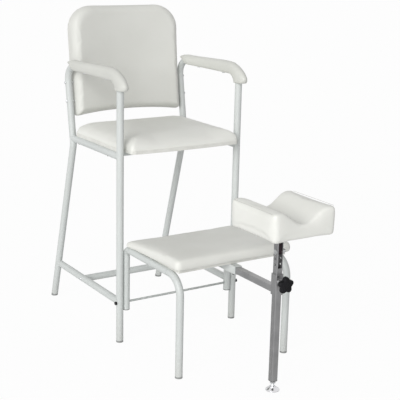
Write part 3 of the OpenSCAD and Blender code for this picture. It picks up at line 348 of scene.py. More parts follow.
# %% Give every CAD node its finish
NODE_FINISH = {
    paint: ["side_frame_left", "side_frame_right", "seat_rail_left", "seat_rail_right", "seat_cross_rails",
            "side_stretcher_left", "side_stretcher_right", "cross_brace", "bench_rear_leg_left",
            "bench_rear_leg_right", "bench_side_rail_left", "bench_side_rail_right", "bench_front_leg_left",
            "bench_front_leg_right", "bench_rear_rail", "bench_mid_rails", "arm_socket"],
    dark_plastic: ["bench_tube_caps", "arm_end_plug", "post_end_plug"],
    grey_plastic: ["chair_leg_glides", "bench_glides"],
    black_steel: ["seat_screws", "tie_rod_nuts", "arm_lock_screw"],
    vinyl: ["seat_cushion", "bench_cushion", "leg_rest_cushion"],
    back_vinyl_painted_shade: ["back_cushion", "back_panel"],
    arm_vinyl_painted_shade: ["arm_pad_left", "arm_pad_right"],
    board: ["seat_board", "bench_board", "rest_board"],
    zinc: ["stretcher_bolts", "arm_pad_screws", "back_frame", "back_bolts", "tie_rod", "bench_board_screws",
           "clamp_screw", "foot_lock_nut", "foot_stud", "pivot_bolt", "pivot_nut", "rest_screws"],
    dark_steel: ["bench_spigots", "rest_stem", "rest_plate"],
    bar_steel_y: ["extension_arm"],
    bar_steel_z: ["post_sleeve", "clamp_boss", "height_post"],
    black_plastic: ["star_knob"],
    nylon: ["clamp_tip", "pivot_washers"],
    chrome: ["foot_pad"]}
for material, names in NODE_FINISH.items():
    for name in names:
        node = frame["nodes"][name]
        if not node.material_slots:
            node.data.materials.append(material)
        for material_slot in node.material_slots:
            material_slot.material = material
print("finished nodes:", sum(len(names) for names in NODE_FINISH.values()), "of", len(frame["nodes"]))

# %% [markdown]
# ## Bent tubes with Geometry Nodes
# A side frame is one tube that was bent on a machine: straight runs and round bends. That is a rule, so it
# is grown by nodes: the corner points become a curve, each corner is rounded by its own bend radius, and a
# circle is swept along. Changing a number bends the whole frame anew, where a modelled mesh would have to be
# pulled about by hand.

# %% Small helpers for node trees
def geometry_tree(name, inputs):
    """An empty Geometry Nodes tree with one geometry in, one out, and named inputs."""
    tree = bpy.data.node_groups.new(name, "GeometryNodeTree")
    tree.interface.new_socket("Geometry", in_out="INPUT", socket_type="NodeSocketGeometry")
    for label, kind, default in inputs:
        socket = tree.interface.new_socket(label, in_out="INPUT", socket_type="NodeSocket" + kind)
        if default is not None:
            socket.default_value = default
    tree.interface.new_socket("Geometry", in_out="OUTPUT", socket_type="NodeSocketGeometry")
    return tree, tree.nodes.new("NodeGroupInput"), tree.nodes.new("NodeGroupOutput")


def close_tree(tree, geometry, source, out, smooth=True):
    """Ends a tree in Realize Instances, smooth shading and Set Material."""
    real = tree.nodes.new("GeometryNodeRealizeInstances")
    shade = tree.nodes.new("GeometryNodeSetShadeSmooth")
    shade.inputs["Shade Smooth"].default_value = smooth
    dress = tree.nodes.new("GeometryNodeSetMaterial")
    tree.links.new(geometry, real.inputs["Geometry"])
    tree.links.new(real.outputs["Geometry"], shade.inputs["Geometry"])
    tree.links.new(shade.outputs["Geometry"], dress.inputs["Geometry"])
    tree.links.new(source.outputs["Material"], dress.inputs["Material"])
    tree.links.new(dress.outputs["Geometry"], out.inputs["Geometry"])


def grow(name, points, edges, tree, values, attributes=None):
    """Runs a tree on a path of points and keeps the result as a plain mesh object."""
    path = bpy.data.meshes.new(name + "_path")
    path.from_pydata([tuple(p) for p in points], [tuple(e) for e in edges], [])
    for label, numbers in (attributes or {}).items():
        path.attributes.new(label, "FLOAT", "POINT").data.foreach_set("value", np.array(numbers, np.float32))
    carrier = link(bpy.data.objects.new(name + "_path", path))
    modifier = carrier.modifiers.new("Grow", "NODES")
    modifier.node_group = tree
    for item in tree.interface.items_tree:
        if item.item_type == "SOCKET" and item.in_out == "INPUT" and item.name in values:
            modifier[item.identifier] = values[item.name]
    evaluated = carrier.evaluated_get(bpy.context.evaluated_depsgraph_get())
    mesh = bpy.data.meshes.new_from_object(evaluated)
    mesh.name = name
    bpy.data.objects.remove(carrier)
    return link(bpy.data.objects.new(name, mesh))


def chain(count, closed=False):
    """The edges that join a row of points, one after the other."""
    return [(i, (i + 1) % count) for i in range(count if closed else count - 1)]


# %% The bent tube tree
bent_tube, tube_in, tube_out = geometry_tree(
    "Bent tube", [("Tube Radius", "Float", 0.0125), ("Sides", "Int", 40), ("Material", "Material", None)])
tube_curve = bent_tube.nodes.new("GeometryNodeMeshToCurve")
tube_fillet = bent_tube.nodes.new("GeometryNodeFilletCurve")
tube_bend = bent_tube.nodes.new("GeometryNodeInputNamedAttribute")
tube_bend.data_type = "FLOAT"
tube_bend.inputs["Name"].default_value = "bend"
tube_profile = bent_tube.nodes.new("GeometryNodeCurvePrimitiveCircle")
tube_sweep = bent_tube.nodes.new("GeometryNodeCurveToMesh")
tube_sweep.inputs["Fill Caps"].default_value = True
tube_fillet.mode = "POLY"
tube_fillet.inputs["Count"].default_value = 20
bent_tube.links.new(tube_in.outputs["Geometry"], tube_curve.inputs["Mesh"])
bent_tube.links.new(tube_curve.outputs["Curve"], tube_fillet.inputs["Curve"])
bent_tube.links.new(tube_bend.outputs["Attribute"], tube_fillet.inputs["Radius"])
bent_tube.links.new(tube_fillet.outputs["Curve"], tube_sweep.inputs["Curve"])
bent_tube.links.new(tube_in.outputs["Sides"], tube_profile.inputs["Resolution"])
bent_tube.links.new(tube_in.outputs["Tube Radius"], tube_profile.inputs["Radius"])
bent_tube.links.new(tube_profile.outputs["Curve"], tube_sweep.inputs["Profile Curve"])
close_tree(bent_tube, tube_sweep.outputs["Mesh"], tube_in, tube_out)

# %% [markdown]
# Each tube replaces the CAD tube of the same place. The corner points and bend radii are the CAD part's. The
# tubes end on the feet's plastic plugs, which are CAD nodes and stay.

# %% Side frames and bench tubes
FOOT_Z = 6.2
SPLAYED_FOOT_Z = FOOT_Z + 3.6
NOSE_BEND, CORNER_BEND, KINK_BEND = 42.0, 50.0, 60.0
ARM_CORNER_Y = KINK_Y + (ARM_Z - KINK_Z) * LEAN
side_path = [(0, FOOT_Z), (0, ARM_Z), (ARM_CORNER_Y, ARM_Z), (KINK_Y, KINK_Z),
             (FOOT_REACH - SPLAYED_FOOT_Z * SPLAY, SPLAYED_FOOT_Z)]
side_bends = [0, NOSE_BEND, CORNER_BEND, KINK_BEND, 0]

BENCH_REAR_LOW, BENCH_REAR_BEND, BENCH_FRONT_BEND = 119.8, 26.0, 65.0
REAR_SEAM_Y, FRONT_SEAM_Y, BENCH_LEG_Y = -33.0, -289.0, -361.0
rear_path = [(0, BENCH_REAR_LOW), (0, BENCH_RAIL_Z), (REAR_SEAM_Y, BENCH_RAIL_Z)]
front_path = [(FRONT_SEAM_Y, BENCH_RAIL_Z), (BENCH_LEG_Y, BENCH_RAIL_Z), (BENCH_LEG_Y, FOOT_Z)]

tubes = [("side_frame", FRAME_X, side_path, side_bends),
         ("bench_rear_leg", BENCH_X, rear_path, [0, BENCH_REAR_BEND, 0]),
         ("bench_front_leg", BENCH_X, front_path, [0, BENCH_FRONT_BEND, 0])]
for label, x, path, bends in tubes:
    for side, sign in (("left", -1), ("right", 1)):
        node = label + "_" + side
        tube = grow(node + "_tube", place([(sign * x, y, z) for y, z in path]), chain(len(path)), bent_tube,
                    {"Tube Radius": TUBE_R * MM, "Sides": 40, "Material": paint},
                    {"bend": [r * MM for r in bends]})
        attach(tube, "chair")
        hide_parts(node)
        print(tube.name, len(tube.data.polygons), "faces")

# %% [markdown]
# ## Weld beads
# Where tubes meet, a real frame has a small bead of weld all round, painted over. A bead follows the line in
# which the two surfaces cut, so it is a path and a sweep again, with a little noise in its thickness that
# gives the ripples.

# %% The weld bead tree
weld, weld_in, weld_out = geometry_tree(
    "Weld bead", [("Bead Radius", "Float", 0.0016), ("Ripple", "Float", 0.3), ("Seed", "Float", 3.0),
                  ("Material", "Material", None)])
weld_curve = weld.nodes.new("GeometryNodeMeshToCurve")
weld_noise = weld.nodes.new("ShaderNodeTexNoise")
weld_noise.noise_dimensions = "4D"
weld_noise.inputs["Scale"].default_value = 420.0
weld_noise.inputs["Detail"].default_value = 1.0
weld_wave = weld.nodes.new("ShaderNodeMath")
weld_wave.operation = "MULTIPLY_ADD"
weld_wave.inputs[2].default_value = 0.85
weld_radius = weld.nodes.new("GeometryNodeSetCurveRadius")
weld_profile = weld.nodes.new("GeometryNodeCurvePrimitiveCircle")
weld_profile.inputs["Resolution"].default_value = 8
weld_sweep = weld.nodes.new("GeometryNodeCurveToMesh")
weld_sweep.inputs["Fill Caps"].default_value = True
weld.links.new(weld_in.outputs["Geometry"], weld_curve.inputs["Mesh"])
weld.links.new(weld_in.outputs["Seed"], weld_noise.inputs["W"])
weld.links.new(weld_noise.outputs["Fac"], weld_wave.inputs[0])
weld.links.new(weld_in.outputs["Ripple"], weld_wave.inputs[1])
weld.links.new(weld_curve.outputs["Curve"], weld_radius.inputs["Curve"])
weld.links.new(weld_wave.outputs["Value"], weld_radius.inputs["Radius"])
weld.links.new(weld_radius.outputs["Curve"], weld_sweep.inputs["Curve"])
weld.links.new(weld_in.outputs["Bead Radius"], weld_profile.inputs["Radius"])
weld.links.new(weld_profile.outputs["Curve"], weld_sweep.inputs["Profile Curve"])
weld.links.new(weld_wave.outputs["Value"], weld_sweep.inputs["Scale"])
close_tree(weld, weld_sweep.outputs["Mesh"], weld_in, weld_out)


# %% Paths of the beads on the chair
def saddle(centre, along, wall, count=56):
    """The line in which a tube that comes in along one axis cuts another tube of the same size."""
    along, wall = unit(np.array(along, float)), unit(np.array(wall, float))
    side = unit(np.cross(wall, along))
    up = np.cross(along, side)
    squint = abs(float(np.dot(up, wall)))
    rows = []
    for t in np.linspace(0, 2 * math.pi, count, endpoint=False):
        across, rise = TUBE_R * math.cos(t), TUBE_R * math.sin(t)
        reach = math.sqrt(max(TUBE_R ** 2 - across ** 2, 0)) / max(squint, 0.5)
        shift = -rise * float(np.dot(along, wall)) / max(squint, 0.5)
        rows.append(np.array(centre, float) + side * across + up * rise + along * (reach + shift))
    return rows


# %% [markdown]
# On each side the seat rail and the low stretcher run between the front leg and the rear leg, and the cross
# tubes of the seat and of the bench come in from the middle. Every one of those joints gets its bead.

# %% Beads on the chair
UP, REARWARD, FORWARD = (0, 0, 1), (0, 1, 0), (0, -1, 0)
SEAT_CROSS_YS = (60.9, 311.7)
BENCH_CROSS_YS = (-45.0, -170.0)
rear_leg_dir = (0, -math.sin(SPLAY_TURN), math.cos(SPLAY_TURN))
upright_dir = (0, math.sin(LEAN_TURN), math.cos(LEAN_TURN))
rail_end_y = KINK_Y + (SEAT_RAIL_Z - KINK_Z) * LEAN
stretcher_end_y = FOOT_REACH - STRETCHER_Z * SPLAY
bead_loops = []
for sign in (-1, 1):
    x = sign * FRAME_X
    inward = (-sign, 0, 0)
    bead_loops += [
        saddle((x, 0, SEAT_RAIL_Z), REARWARD, UP),
        saddle((x, rail_end_y, SEAT_RAIL_Z), FORWARD, upright_dir),
        saddle((x, 0, STRETCHER_Z), REARWARD, UP),
        saddle((x, stretcher_end_y, STRETCHER_Z), FORWARD, rear_leg_dir)]
    bead_loops += [saddle((x, y, SEAT_RAIL_Z), inward, REARWARD) for y in SEAT_CROSS_YS]
    bead_loops += [saddle((sign * BENCH_X, y, BENCH_RAIL_Z), inward, REARWARD) for y in BENCH_CROSS_YS]
bead_points, bead_edges = [], []
for loop in bead_loops:
    start = len(bead_points)
    bead_edges += [(start + a, start + b) for a, b in chain(len(loop), closed=True)]
    bead_points += loop
chair_beads = grow("chair_weld_beads", place(bead_points), bead_edges, weld,
                   {"Bead Radius": 1.5 * MM, "Ripple": 0.5, "Seed": 3.0, "Material": paint})
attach(chair_beads, "chair")
print("beads on the chair:", len(bead_loops))


# %% [markdown]
# The leg rest's square arm is welded to the back of the sleeve that holds the post, and the round boss of the
# clamp to its front. These beads move with the arm, so they are a piece of their own.

# %% Beads on the sleeve
SLEEVE_FACE, ARM_HALF, BOSS_R, CORNER_CUT = 14.2, 11.2, 9.0, 2.5


def square_loop(half, axis_at):
    """A square path with cut corners, each point sent through axis_at(u, v)."""
    cut = half - CORNER_CUT
    corners = [(half, -cut), (half, cut), (cut, half), (-cut, half), (-half, cut), (-half, -cut),
               (-cut, -half), (cut, -half)]
    rows = []
    for (u0, v0), (u1, v1) in zip(corners, corners[1:] + corners[:1]):
        steps = 8 if abs(u1 - u0) + abs(v1 - v0) > 8 else 2
        rows += [axis_at(u0 + (u1 - u0) * t / steps, v0 + (v1 - v0) * t / steps) for t in range(steps)]
    return rows


arm_loop = square_loop(ARM_HALF, lambda u, v: (u, POST_Y + SLEEVE_FACE, REST_ARM_Z + v))
boss_loop = [(BOSS_R * math.cos(t), POST_Y - SLEEVE_FACE, KNOB_Z + BOSS_R * math.sin(t))
             for t in np.linspace(0, 2 * math.pi, 28, endpoint=False)]
first = len(arm_loop)
loop_edges = chain(first, True) + [(first + a, first + b) for a, b in chain(len(boss_loop), True)]
sleeve_beads = grow("sleeve_weld_beads", place(arm_loop + boss_loop), loop_edges, weld,
                    {"Bead Radius": 1.4 * MM, "Ripple": 0.7, "Seed": 8.0, "Material": bar_steel_z})
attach(sleeve_beads, "extension")
print("points in the beads on the sleeve:", first + len(boss_loop))

# %% [markdown]
# ## Threads
# The tie rod is a threaded rod from end to end, and so is the foot's stud. At this size a thread is a row of
# small cones, so one cone is instanced along a line and made real.

# %% The thread tree
ridge, ridge_in, ridge_out = geometry_tree(
    "Thread", [("Outer Radius", "Float", 0.004), ("Pitch", "Float", 0.0013), ("Material", "Material", None)])
ridge_curve = ridge.nodes.new("GeometryNodeMeshToCurve")
ridge_points = ridge.nodes.new("GeometryNodeCurveToPoints")
ridge_points.mode = "LENGTH"
ridge_cone = ridge.nodes.new("GeometryNodeMeshCone")
ridge_cone.inputs["Vertices"].default_value = 16
ridge_core = ridge.nodes.new("ShaderNodeMath")
ridge_core.operation = "MULTIPLY"
ridge_core.inputs[1].default_value = 0.9
ridge_on = ridge.nodes.new("GeometryNodeInstanceOnPoints")
ridge.links.new(ridge_in.outputs["Geometry"], ridge_curve.inputs["Mesh"])
ridge.links.new(ridge_curve.outputs["Curve"], ridge_points.inputs["Curve"])
ridge.links.new(ridge_in.outputs["Pitch"], ridge_points.inputs["Length"])
ridge.links.new(ridge_in.outputs["Outer Radius"], ridge_core.inputs[0])
ridge.links.new(ridge_core.outputs["Value"], ridge_cone.inputs["Radius Top"])
ridge.links.new(ridge_in.outputs["Outer Radius"], ridge_cone.inputs["Radius Bottom"])
ridge.links.new(ridge_in.outputs["Pitch"], ridge_cone.inputs["Depth"])
ridge.links.new(ridge_points.outputs["Points"], ridge_on.inputs["Points"])
ridge.links.new(ridge_points.outputs["Rotation"], ridge_on.inputs["Rotation"])
ridge.links.new(ridge_cone.outputs["Mesh"], ridge_on.inputs["Instance"])
close_tree(ridge, ridge_on.outputs["Instances"], ridge_in, ridge_out, smooth=False)


# %% Tie rod and foot stud
TIE_ROD_Z, TIE_ROD_HALF = 146.0, 254.0
STUD_LOW, STUD_HIGH = 5.0, 62.0


def threaded(name, ends, radius, pitch, body, node, material):
    """A threaded rod between two points in millimetres, in place of a plain CAD rod."""
    rod = grow(name, place(ends), [(0, 1)], ridge,
               {"Outer Radius": radius * MM, "Pitch": pitch * MM, "Material": material})
    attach(rod, body)
    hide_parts(node)
    print(name, len(rod.data.polygons), "faces")


# The tie rod takes the lightened zinc, a painted reflection.
threaded("tie_rod_thread", [(-TIE_ROD_HALF, 0, TIE_ROD_Z), (TIE_ROD_HALF, 0, TIE_ROD_Z)], 4.0, 1.3,
         "chair", "tie_rod", rod_zinc_painted_reflection)
threaded("foot_stud_thread", [(0, POST_Y, STUD_LOW), (0, POST_Y, STUD_HIGH)], 5.0, 1.5,
         "foot_stud", "foot_stud", zinc)

# %% [markdown]
# ## Cushions
# A cushion starts as an outline with rounded corners. Rings go round its sides, and the top and the underside
# are filled with a net of points that carry the crown. The form is then remeshed into even squares and blown
# up a little by a cloth simulation, which gives the soft roundness that a drawn profile never has. The
# distance that a point may move is capped, so the cushion stays in its place between the tubes.

# %% Rounded outlines
def rounded_outline(corners_at, radii, draws, step):
    """A function of the inset in millimetres that gives the outline, always with as many points."""
    nominal = np.array(corners_at(0.0), float)
    count = len(nominal)
    arcs = [max(3, math.ceil(r * math.pi / 2 / step)) for r in radii]
    runs = [max(1, round((np.linalg.norm(nominal[(i + 1) % count] - nominal[i]) - radii[i]
                          - radii[(i + 1) % count]) / step)) for i in range(count)]

    def turned(radius, u, v, inset):
        return max(radius - inset, radius / 4) if u[0] * v[1] - u[1] * v[0] > 0 else radius + inset

    def at(inset):
        corners = np.array(corners_at(inset), float)
        rows = []
        for i in range(count):
            before, here, after, beyond = (corners[(i + k) % count] for k in (-1, 0, 1, 2))
            u, v, w = unit(here - before), unit(after - here), unit(beyond - after)
            r0, r1 = turned(radii[i], u, v, inset), turned(radii[(i + 1) % count], v, w, inset)
            for j in range(arcs[i] + 1):
                t = math.pi / 2 * j / arcs[i]
                rows.append(here + r0 * (v - u) + r0 * (u * math.sin(t) - v * math.cos(t)))
            start, stop = here + v * r0, after - v * r1
            inward = np.array([-v[1], v[0]])
            for j in range(1, runs[i]):
                t = j / runs[i]
                rows.append(start + (stop - start) * t + inward * draws[i] * 4 * t * (1 - t))
        return np.array(rows)

    return at


def edge_distance(points, edge):
    """How far each point is from a closed outline."""
    a, b = edge, np.roll(edge, -1, axis=0)
    ab = b - a
    best = np.full(len(points), 1e9)
    for p, d in zip(a, ab):
        t = np.clip(((points - p) @ d) / max(float(d @ d), 1e-9), 0, 1)
        best = np.minimum(best, np.linalg.norm(points - p - t[:, None] * d, axis=1))
    return best


def inside(points, edge):
    """Which points lie inside a closed outline."""
    hit = np.zeros(len(points), bool)
    for (x0, y0), (x1, y1) in zip(edge, np.roll(edge, -1, axis=0)):
        if y0 != y1:
            crosses = (y0 > points[:, 1]) != (y1 > points[:, 1])
            hit ^= crosses & (points[:, 0] < (x1 - x0) * (points[:, 1] - y0) / (y1 - y0) + x0)
    return hit


def fill_outline(edge, spacing):
    """Points over the inside of an outline, joined with it by triangles."""
    lo, hi = edge.min(0), edge.max(0)
    net = np.array([(x, y) for x in np.arange(lo[0] + spacing / 2, hi[0], spacing)
                    for y in np.arange(lo[1] + spacing / 2, hi[1], spacing)])
    net = net[inside(net, edge) & (edge_distance(net, edge) > spacing * 0.6)]
    points = [Vector(p) for p in np.vstack([edge, net])]
    filled = delaunay_2d_cdt(points, chain(len(edge), closed=True), [], 1, 1e-5)
    return np.array([tuple(v) for v in filled[0]]), filled[2]


# %% Closed skins from rings
def ring_faces(count, rings):
    """Four-sided faces between rings of count points each."""
    return [(j * count + i, j * count + (i + 1) % count, (j + 1) * count + (i + 1) % count,
             (j + 1) * count + i) for j in range(rings - 1) for i in range(count)]


def closed_skin(name, points, faces, merge=0.0):
    """An object over points in metres, with its doubles merged and its faces pointing outwards."""
    mesh = bpy.data.meshes.new(name)
    mesh.from_pydata([tuple(p) for p in points], [], faces)
    form = bmesh.new()
    form.from_mesh(mesh)
    if merge:
        bmesh.ops.remove_doubles(form, verts=form.verts, dist=merge * MM)
    wide = [face for face in form.faces if len(face.verts) > 4]
    if wide:
        bmesh.ops.triangulate(form, faces=wide)
    bmesh.ops.recalc_face_normals(form, faces=form.faces)
    form.to_mesh(mesh)
    form.free()
    return link(bpy.data.objects.new(name, mesh))


# %% A cushion from rings and two filled outlines
def cushion_form(name, shape, sides, low_at, top_at, crown, to_frame, spacing=8.0):
    """Sides are rows of inset and share of the height. Crown rows go on with distance from the last inset."""
    crown_far = [0.0] + [far for far, _ in crown]
    crown_share = [sides[-1][1]] + [share for _, share in crown]
    rings = []
    for inset, share in sides:
        ring = shape(inset)
        low, top = low_at(ring), top_at(ring)
        rings.append(np.column_stack([ring, low + share * (top - low)]))
    count = len(rings[0])
    verts = [tuple(p) for ring in rings for p in ring]
    faces = ring_faces(count, len(rings))
    for inset, is_top in ((sides[-1][0], True), (sides[0][0], False)):
        edge = shape(inset)
        points, triangles = fill_outline(edge, spacing)
        low, top = low_at(points), top_at(points)
        if is_top:
            share = np.interp(edge_distance(points, edge), crown_far, crown_share)
        else:
            share = sides[0][1]
        start = len(verts)
        verts += [tuple(p) for p in np.column_stack([points, low + share * (top - low)])]
        faces += [tuple(start + i for i in triangle) for triangle in triangles]
    return closed_skin(name, to_frame(np.array(verts)), faces, merge=0.05)


# %% [markdown]
# The form is remeshed into even squares first, because cloth stretches evenly only over even faces. The cloth
# simulation then runs on it with gravity off, so only the pressure acts, for twenty frames. What is kept is
# its result as a plain mesh.

# %% Cloth simulation and clean up
def baked(piece):
    """The piece with its modifiers made part of a plain mesh."""
    mesh = bpy.data.meshes.new_from_object(piece.evaluated_get(bpy.context.evaluated_depsgraph_get()))
    old = piece.data
    piece.modifiers.clear()
    piece.data = mesh
    bpy.data.meshes.remove(old)
    mesh.name = piece.name
    return piece


def points_of(mesh):
    """The points of a mesh as rows of an array, in metres."""
    numbers = np.zeros(len(mesh.vertices) * 3, np.float32)
    mesh.vertices.foreach_get("co", numbers)
    return numbers.reshape(-1, 3).astype(float)


def set_points(mesh, points):
    """Moves the points of a mesh to the rows of an array."""
    mesh.vertices.foreach_set("co", points.astype(np.float32).ravel())
    mesh.update()


def even_squares(piece, voxel):
    """Remeshes a closed form into even squares."""
    remesh = piece.modifiers.new("Even squares", "REMESH")
    remesh.mode = "VOXEL"
    remesh.voxel_size = voxel * MM
    remesh.use_smooth_shade = True
    return baked(piece)


def inflated(piece, cap, pressure=4.0, frames=20):
    """Blows a closed form up by cloth pressure. No point moves further than the cap in millimetres."""
    start = points_of(piece.data)
    cloth = piece.modifiers.new("Cloth", "CLOTH")
    cloth.settings.use_pressure = True
    cloth.settings.uniform_pressure_force = pressure
    cloth.settings.effector_weights.gravity = 0
    cloth.settings.bending_stiffness = 2.0
    cloth.point_cache.frame_start = 1
    cloth.point_cache.frame_end = frames
    for number in range(1, frames + 1):
        scene.frame_set(number)
    moved = points_of(piece.evaluated_get(bpy.context.evaluated_depsgraph_get()).data) - start
    piece.modifiers.clear()
    scene.frame_set(1)
    far = np.linalg.norm(moved, axis=1)
    limit = cap * MM
    scale = limit * np.tanh(far / limit) / np.maximum(far, 1e-9)
    set_points(piece.data, start + moved * scale[:, None])
    print(piece.name, "swelled by up to", round(float((far * scale).max() / MM), 1), "mm")
    return piece


def relaxed(piece, rounds):
    """Evens out the small steps that a remesh leaves."""
    smooth = piece.modifiers.new("Relax", "SMOOTH")
    smooth.factor = 0.5
    smooth.iterations = rounds
    return baked(piece)


def refined(piece):
    """One level of subdivision, kept as plain mesh."""
    finer = piece.modifiers.new("Finer", "SUBSURF")
    finer.levels = finer.render_levels = 1
    return baked(piece)


def upholstered(piece, node, body, cap, voxel=5.0, trim=None, rounds=4, cover=vinyl):
    """The whole way from a closed form to a finished cushion in place of its CAD node."""
    even_squares(piece, voxel)
    relaxed(piece, rounds)
    inflated(piece, cap)
    refined(piece)
    if trim:
        set_points(piece.data, trim(points_of(piece.data)))
    piece.data.materials.clear()
    piece.data.materials.append(cover)
    piece.data.shade_smooth()
    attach(piece, body)
    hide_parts(node)
    print(piece.name, len(piece.data.polygons), "faces")
    return piece


# %% [markdown]
# ## Seat
# The seat is notched round the front legs and narrows between the uprights. Its front edge bows forward and
# hangs a little lower. The vinyl is pulled over the edge and stapled under the board, so its lower edge is
# wavy where it lies on the side rails.

# %% Seat cushion
SEAT_LOW, SEAT_T = 680.5, 55.0
SEAT_FRONT, SEAT_NOTCH, SEAT_REAR, SEAT_TAIL = -49.0, 18.0, 348.0, 385.0
SEAT_HALF, SEAT_NOTCH_HALF = 243.0, 219.0
SEAT_LIP, CORNER_FILL = 9.0, 22.0
SEAT_SIDES = [(9.5, 0.02), (3.4, 0.02), (1.8, 0.1), (1.2, 0.2), (2.2, 0.3), (5.0, 0.39), (9.0, 0.465)]
SEAT_CROWN = [(8, 0.545), (16, 0.615), (28, 0.70), (45, 0.785), (65, 0.855), (90, 0.915), (125, 0.965),
              (170, 0.99), (210, 1.0)]


def seat_corners(g):
    """The corners of the seat, drawn in by an inset, from the right front corner round."""
    n, w = SEAT_NOTCH_HALF - g, SEAT_HALF - g
    front, a, b, tail = SEAT_FRONT + g, SEAT_NOTCH + g, SEAT_REAR - g, SEAT_TAIL - g
    return [(n, front), (n, a), (w, a), (w, b), (n, b), (n, tail), (-n, tail), (-n, b), (-w, b), (-w, a),
            (-n, a), (-n, front)]


seat_shape = rounded_outline(seat_corners, [16, 6, 14, 14, 6, 14, 14, 6, 14, 14, 6, 16],
                             [0, 0, 2, 0, 0, 4, 0, 0, 2, 0, 0, -8], 6.0)


def seat_low_at(q):
    """The underside, which drops towards the front edge."""
    return SEAT_LOW - SEAT_LIP * np.clip((SEAT_NOTCH - q[:, 1]) / (SEAT_NOTCH - SEAT_FRONT), 0, 1)


def seat_top_at(q):
    """The filling is pushed into the two front corners, so they are nearly as full as the middle."""
    front = np.clip((60 - q[:, 1]) / 90, 0, 1)
    corner = np.clip((np.abs(q[:, 0]) - 110) / 90, 0, 1)
    return SEAT_LOW + SEAT_T - 1.0 + CORNER_FILL * front * corner


def seat_trim(co):
    """Keeps the underside on the rails and the board, and ripples the lower edge of the vinyl."""
    co = co.copy()
    mm = co / MM
    y = mm[:, 1] - Y_SHIFT
    low = seat_low_at(np.column_stack([mm[:, 0], y]))
    over_board = inside(np.column_stack([mm[:, 0], y]), seat_shape(6.0)) & (mm[:, 2] < SEAT_LOW + 8)
    co[:, 2] = np.maximum(mm[:, 2], np.where(over_board, SEAT_LOW + 2.0, low)) * MM
    side = np.clip((np.abs(mm[:, 0]) - 200) / 30, 0, 1) * np.clip((y - 20) / 30, 0, 1)
    near = np.clip(1 - (mm[:, 2] - low) / 16, 0, 1)
    wave = 0.5 + 0.3 * np.sin(y / 14.0 + 0.6) + 0.2 * np.sin(y / 6.1 + mm[:, 0])
    co[:, 2] += side * near * wave * 1.2 * MM
    co[:, 0] += np.sign(co[:, 0]) * side * near * (wave - 0.5) * 2.5 * MM
    return co


seat = cushion_form("seat_cover", seat_shape, SEAT_SIDES, seat_low_at, seat_top_at, SEAT_CROWN, place)
upholstered(seat, "seat_cushion", "chair", 4.0, trim=seat_trim)

# %% [markdown]
# ## Back
# The back cushion is held between the uprights. Its front is hollowed from side to side, its upper corners
# are wide and its lower edge draws up in the middle.

# %% Back cushion
BACK_W, BACK_H, BACK_T, BACK_HOLLOW = 448.0, 405.0, 64.0, 22.0
BACK_AT = (0.0, 349.0, 745.0)
BACK_TURN = math.radians(6)
BACK_LOW_R, BACK_TOP_R, BACK_SIDE_DRAW, BACK_LOW_DRAW = 12, 90, 1.2, 12.6
PANEL_DEPTH = 8.0
BACK_SIDES = [(8.0, 0.0), (3.4, 0.02), (1.6, 0.12), (1.2, 0.38), (2.2, 0.6), (5.8, 0.785), (12.5, 0.91),
              (21.5, 0.98)]


def back_corners(g):
    """The corners of the back in its own plane, width and height."""
    w = BACK_W / 2 - g
    return [(w, g), (w, BACK_H - g), (-w, BACK_H - g), (-w, g)]


back_shape = rounded_outline(back_corners, [BACK_LOW_R, BACK_TOP_R, BACK_TOP_R, BACK_LOW_R],
                             [BACK_SIDE_DRAW, 0, BACK_SIDE_DRAW, BACK_LOW_DRAW], 6.0)


def back_to_frame(points):
    """Width, height and depth from the rear face, as places in the chair."""
    y = BACK_T - points[:, 2]
    z = points[:, 1]
    turned = np.column_stack([points[:, 0], y * math.cos(BACK_TURN) + z * math.sin(BACK_TURN),
                              z * math.cos(BACK_TURN) - y * math.sin(BACK_TURN)])
    return place(turned + np.array(BACK_AT))


def back_top_at(q):
    """The front, hollowed from side to side."""
    return BACK_T - BACK_HOLLOW * (1 - (q[:, 0] / (BACK_W / 2)) ** 2)


def back_trim(co):
    """Sinks the middle of the rear face, so that the closing panel lies in it."""
    y = co[:, 1] / MM - Y_SHIFT - BACK_AT[1]
    z = co[:, 2] / MM - BACK_AT[2]
    ahead = y * math.cos(BACK_TURN) - z * math.sin(BACK_TURN)
    rise = y * math.sin(BACK_TURN) + z * math.cos(BACK_TURN)
    flat = np.column_stack([co[:, 0] / MM, rise])
    behind = (ahead > 40) & inside(flat, back_shape(7.0))
    sunk = np.where(behind, np.minimum(ahead, BACK_T - PANEL_DEPTH), np.minimum(ahead, BACK_T))
    return back_to_frame(np.column_stack([flat, BACK_T - sunk]))


back = cushion_form("back_cover", back_shape, BACK_SIDES, lambda q: np.zeros(len(q)), back_top_at,
                    [(60, 1.0)], back_to_frame)
# The back's cover takes the darker vinyl copy, which is painted shade.
upholstered(back, "back_cushion", "chair", 3.0, trim=back_trim, cover=back_vinyl_painted_shade)

# %% [markdown]
# ## Bench
# The bench cushion is thick in front and thin at the rear, and lies on a recessed board.

# %% Bench cushion
BENCH_LOW, BENCH_LIFT, BENCH_FRONT, BENCH_REAR = 353.25, 10.5, -369.0, -15.0
BENCH_HALF, BENCH_REAR_T, BENCH_SWELL, BENCH_POCKET = 233.0, 21.0, 27.0, 14.0
BENCH_SIDES = [(8.0, 0.0), (3.5, 0.08), (1.8, 0.32), (2.4, 0.58), (5.5, 0.78), (10.5, 0.88)]
BENCH_CROWN = [(20, 0.93), (45, 0.97), (90, 1.0)]


def bench_corners(g):
    """The corners of the bench cushion."""
    w, front, rear = BENCH_HALF - g, BENCH_FRONT + g, BENCH_REAR - g
    return [(w, front), (w, rear), (-w, rear), (-w, front)]


bench_shape = rounded_outline(bench_corners, [20, 12, 12, 20], [2.7, 2.7, 2.7, 2.7], 6.0)


def bench_rise(y):
    """Zero at the rear edge and one at the front edge."""
    return np.clip((BENCH_REAR - y) / (BENCH_REAR - BENCH_FRONT), 0, 1)


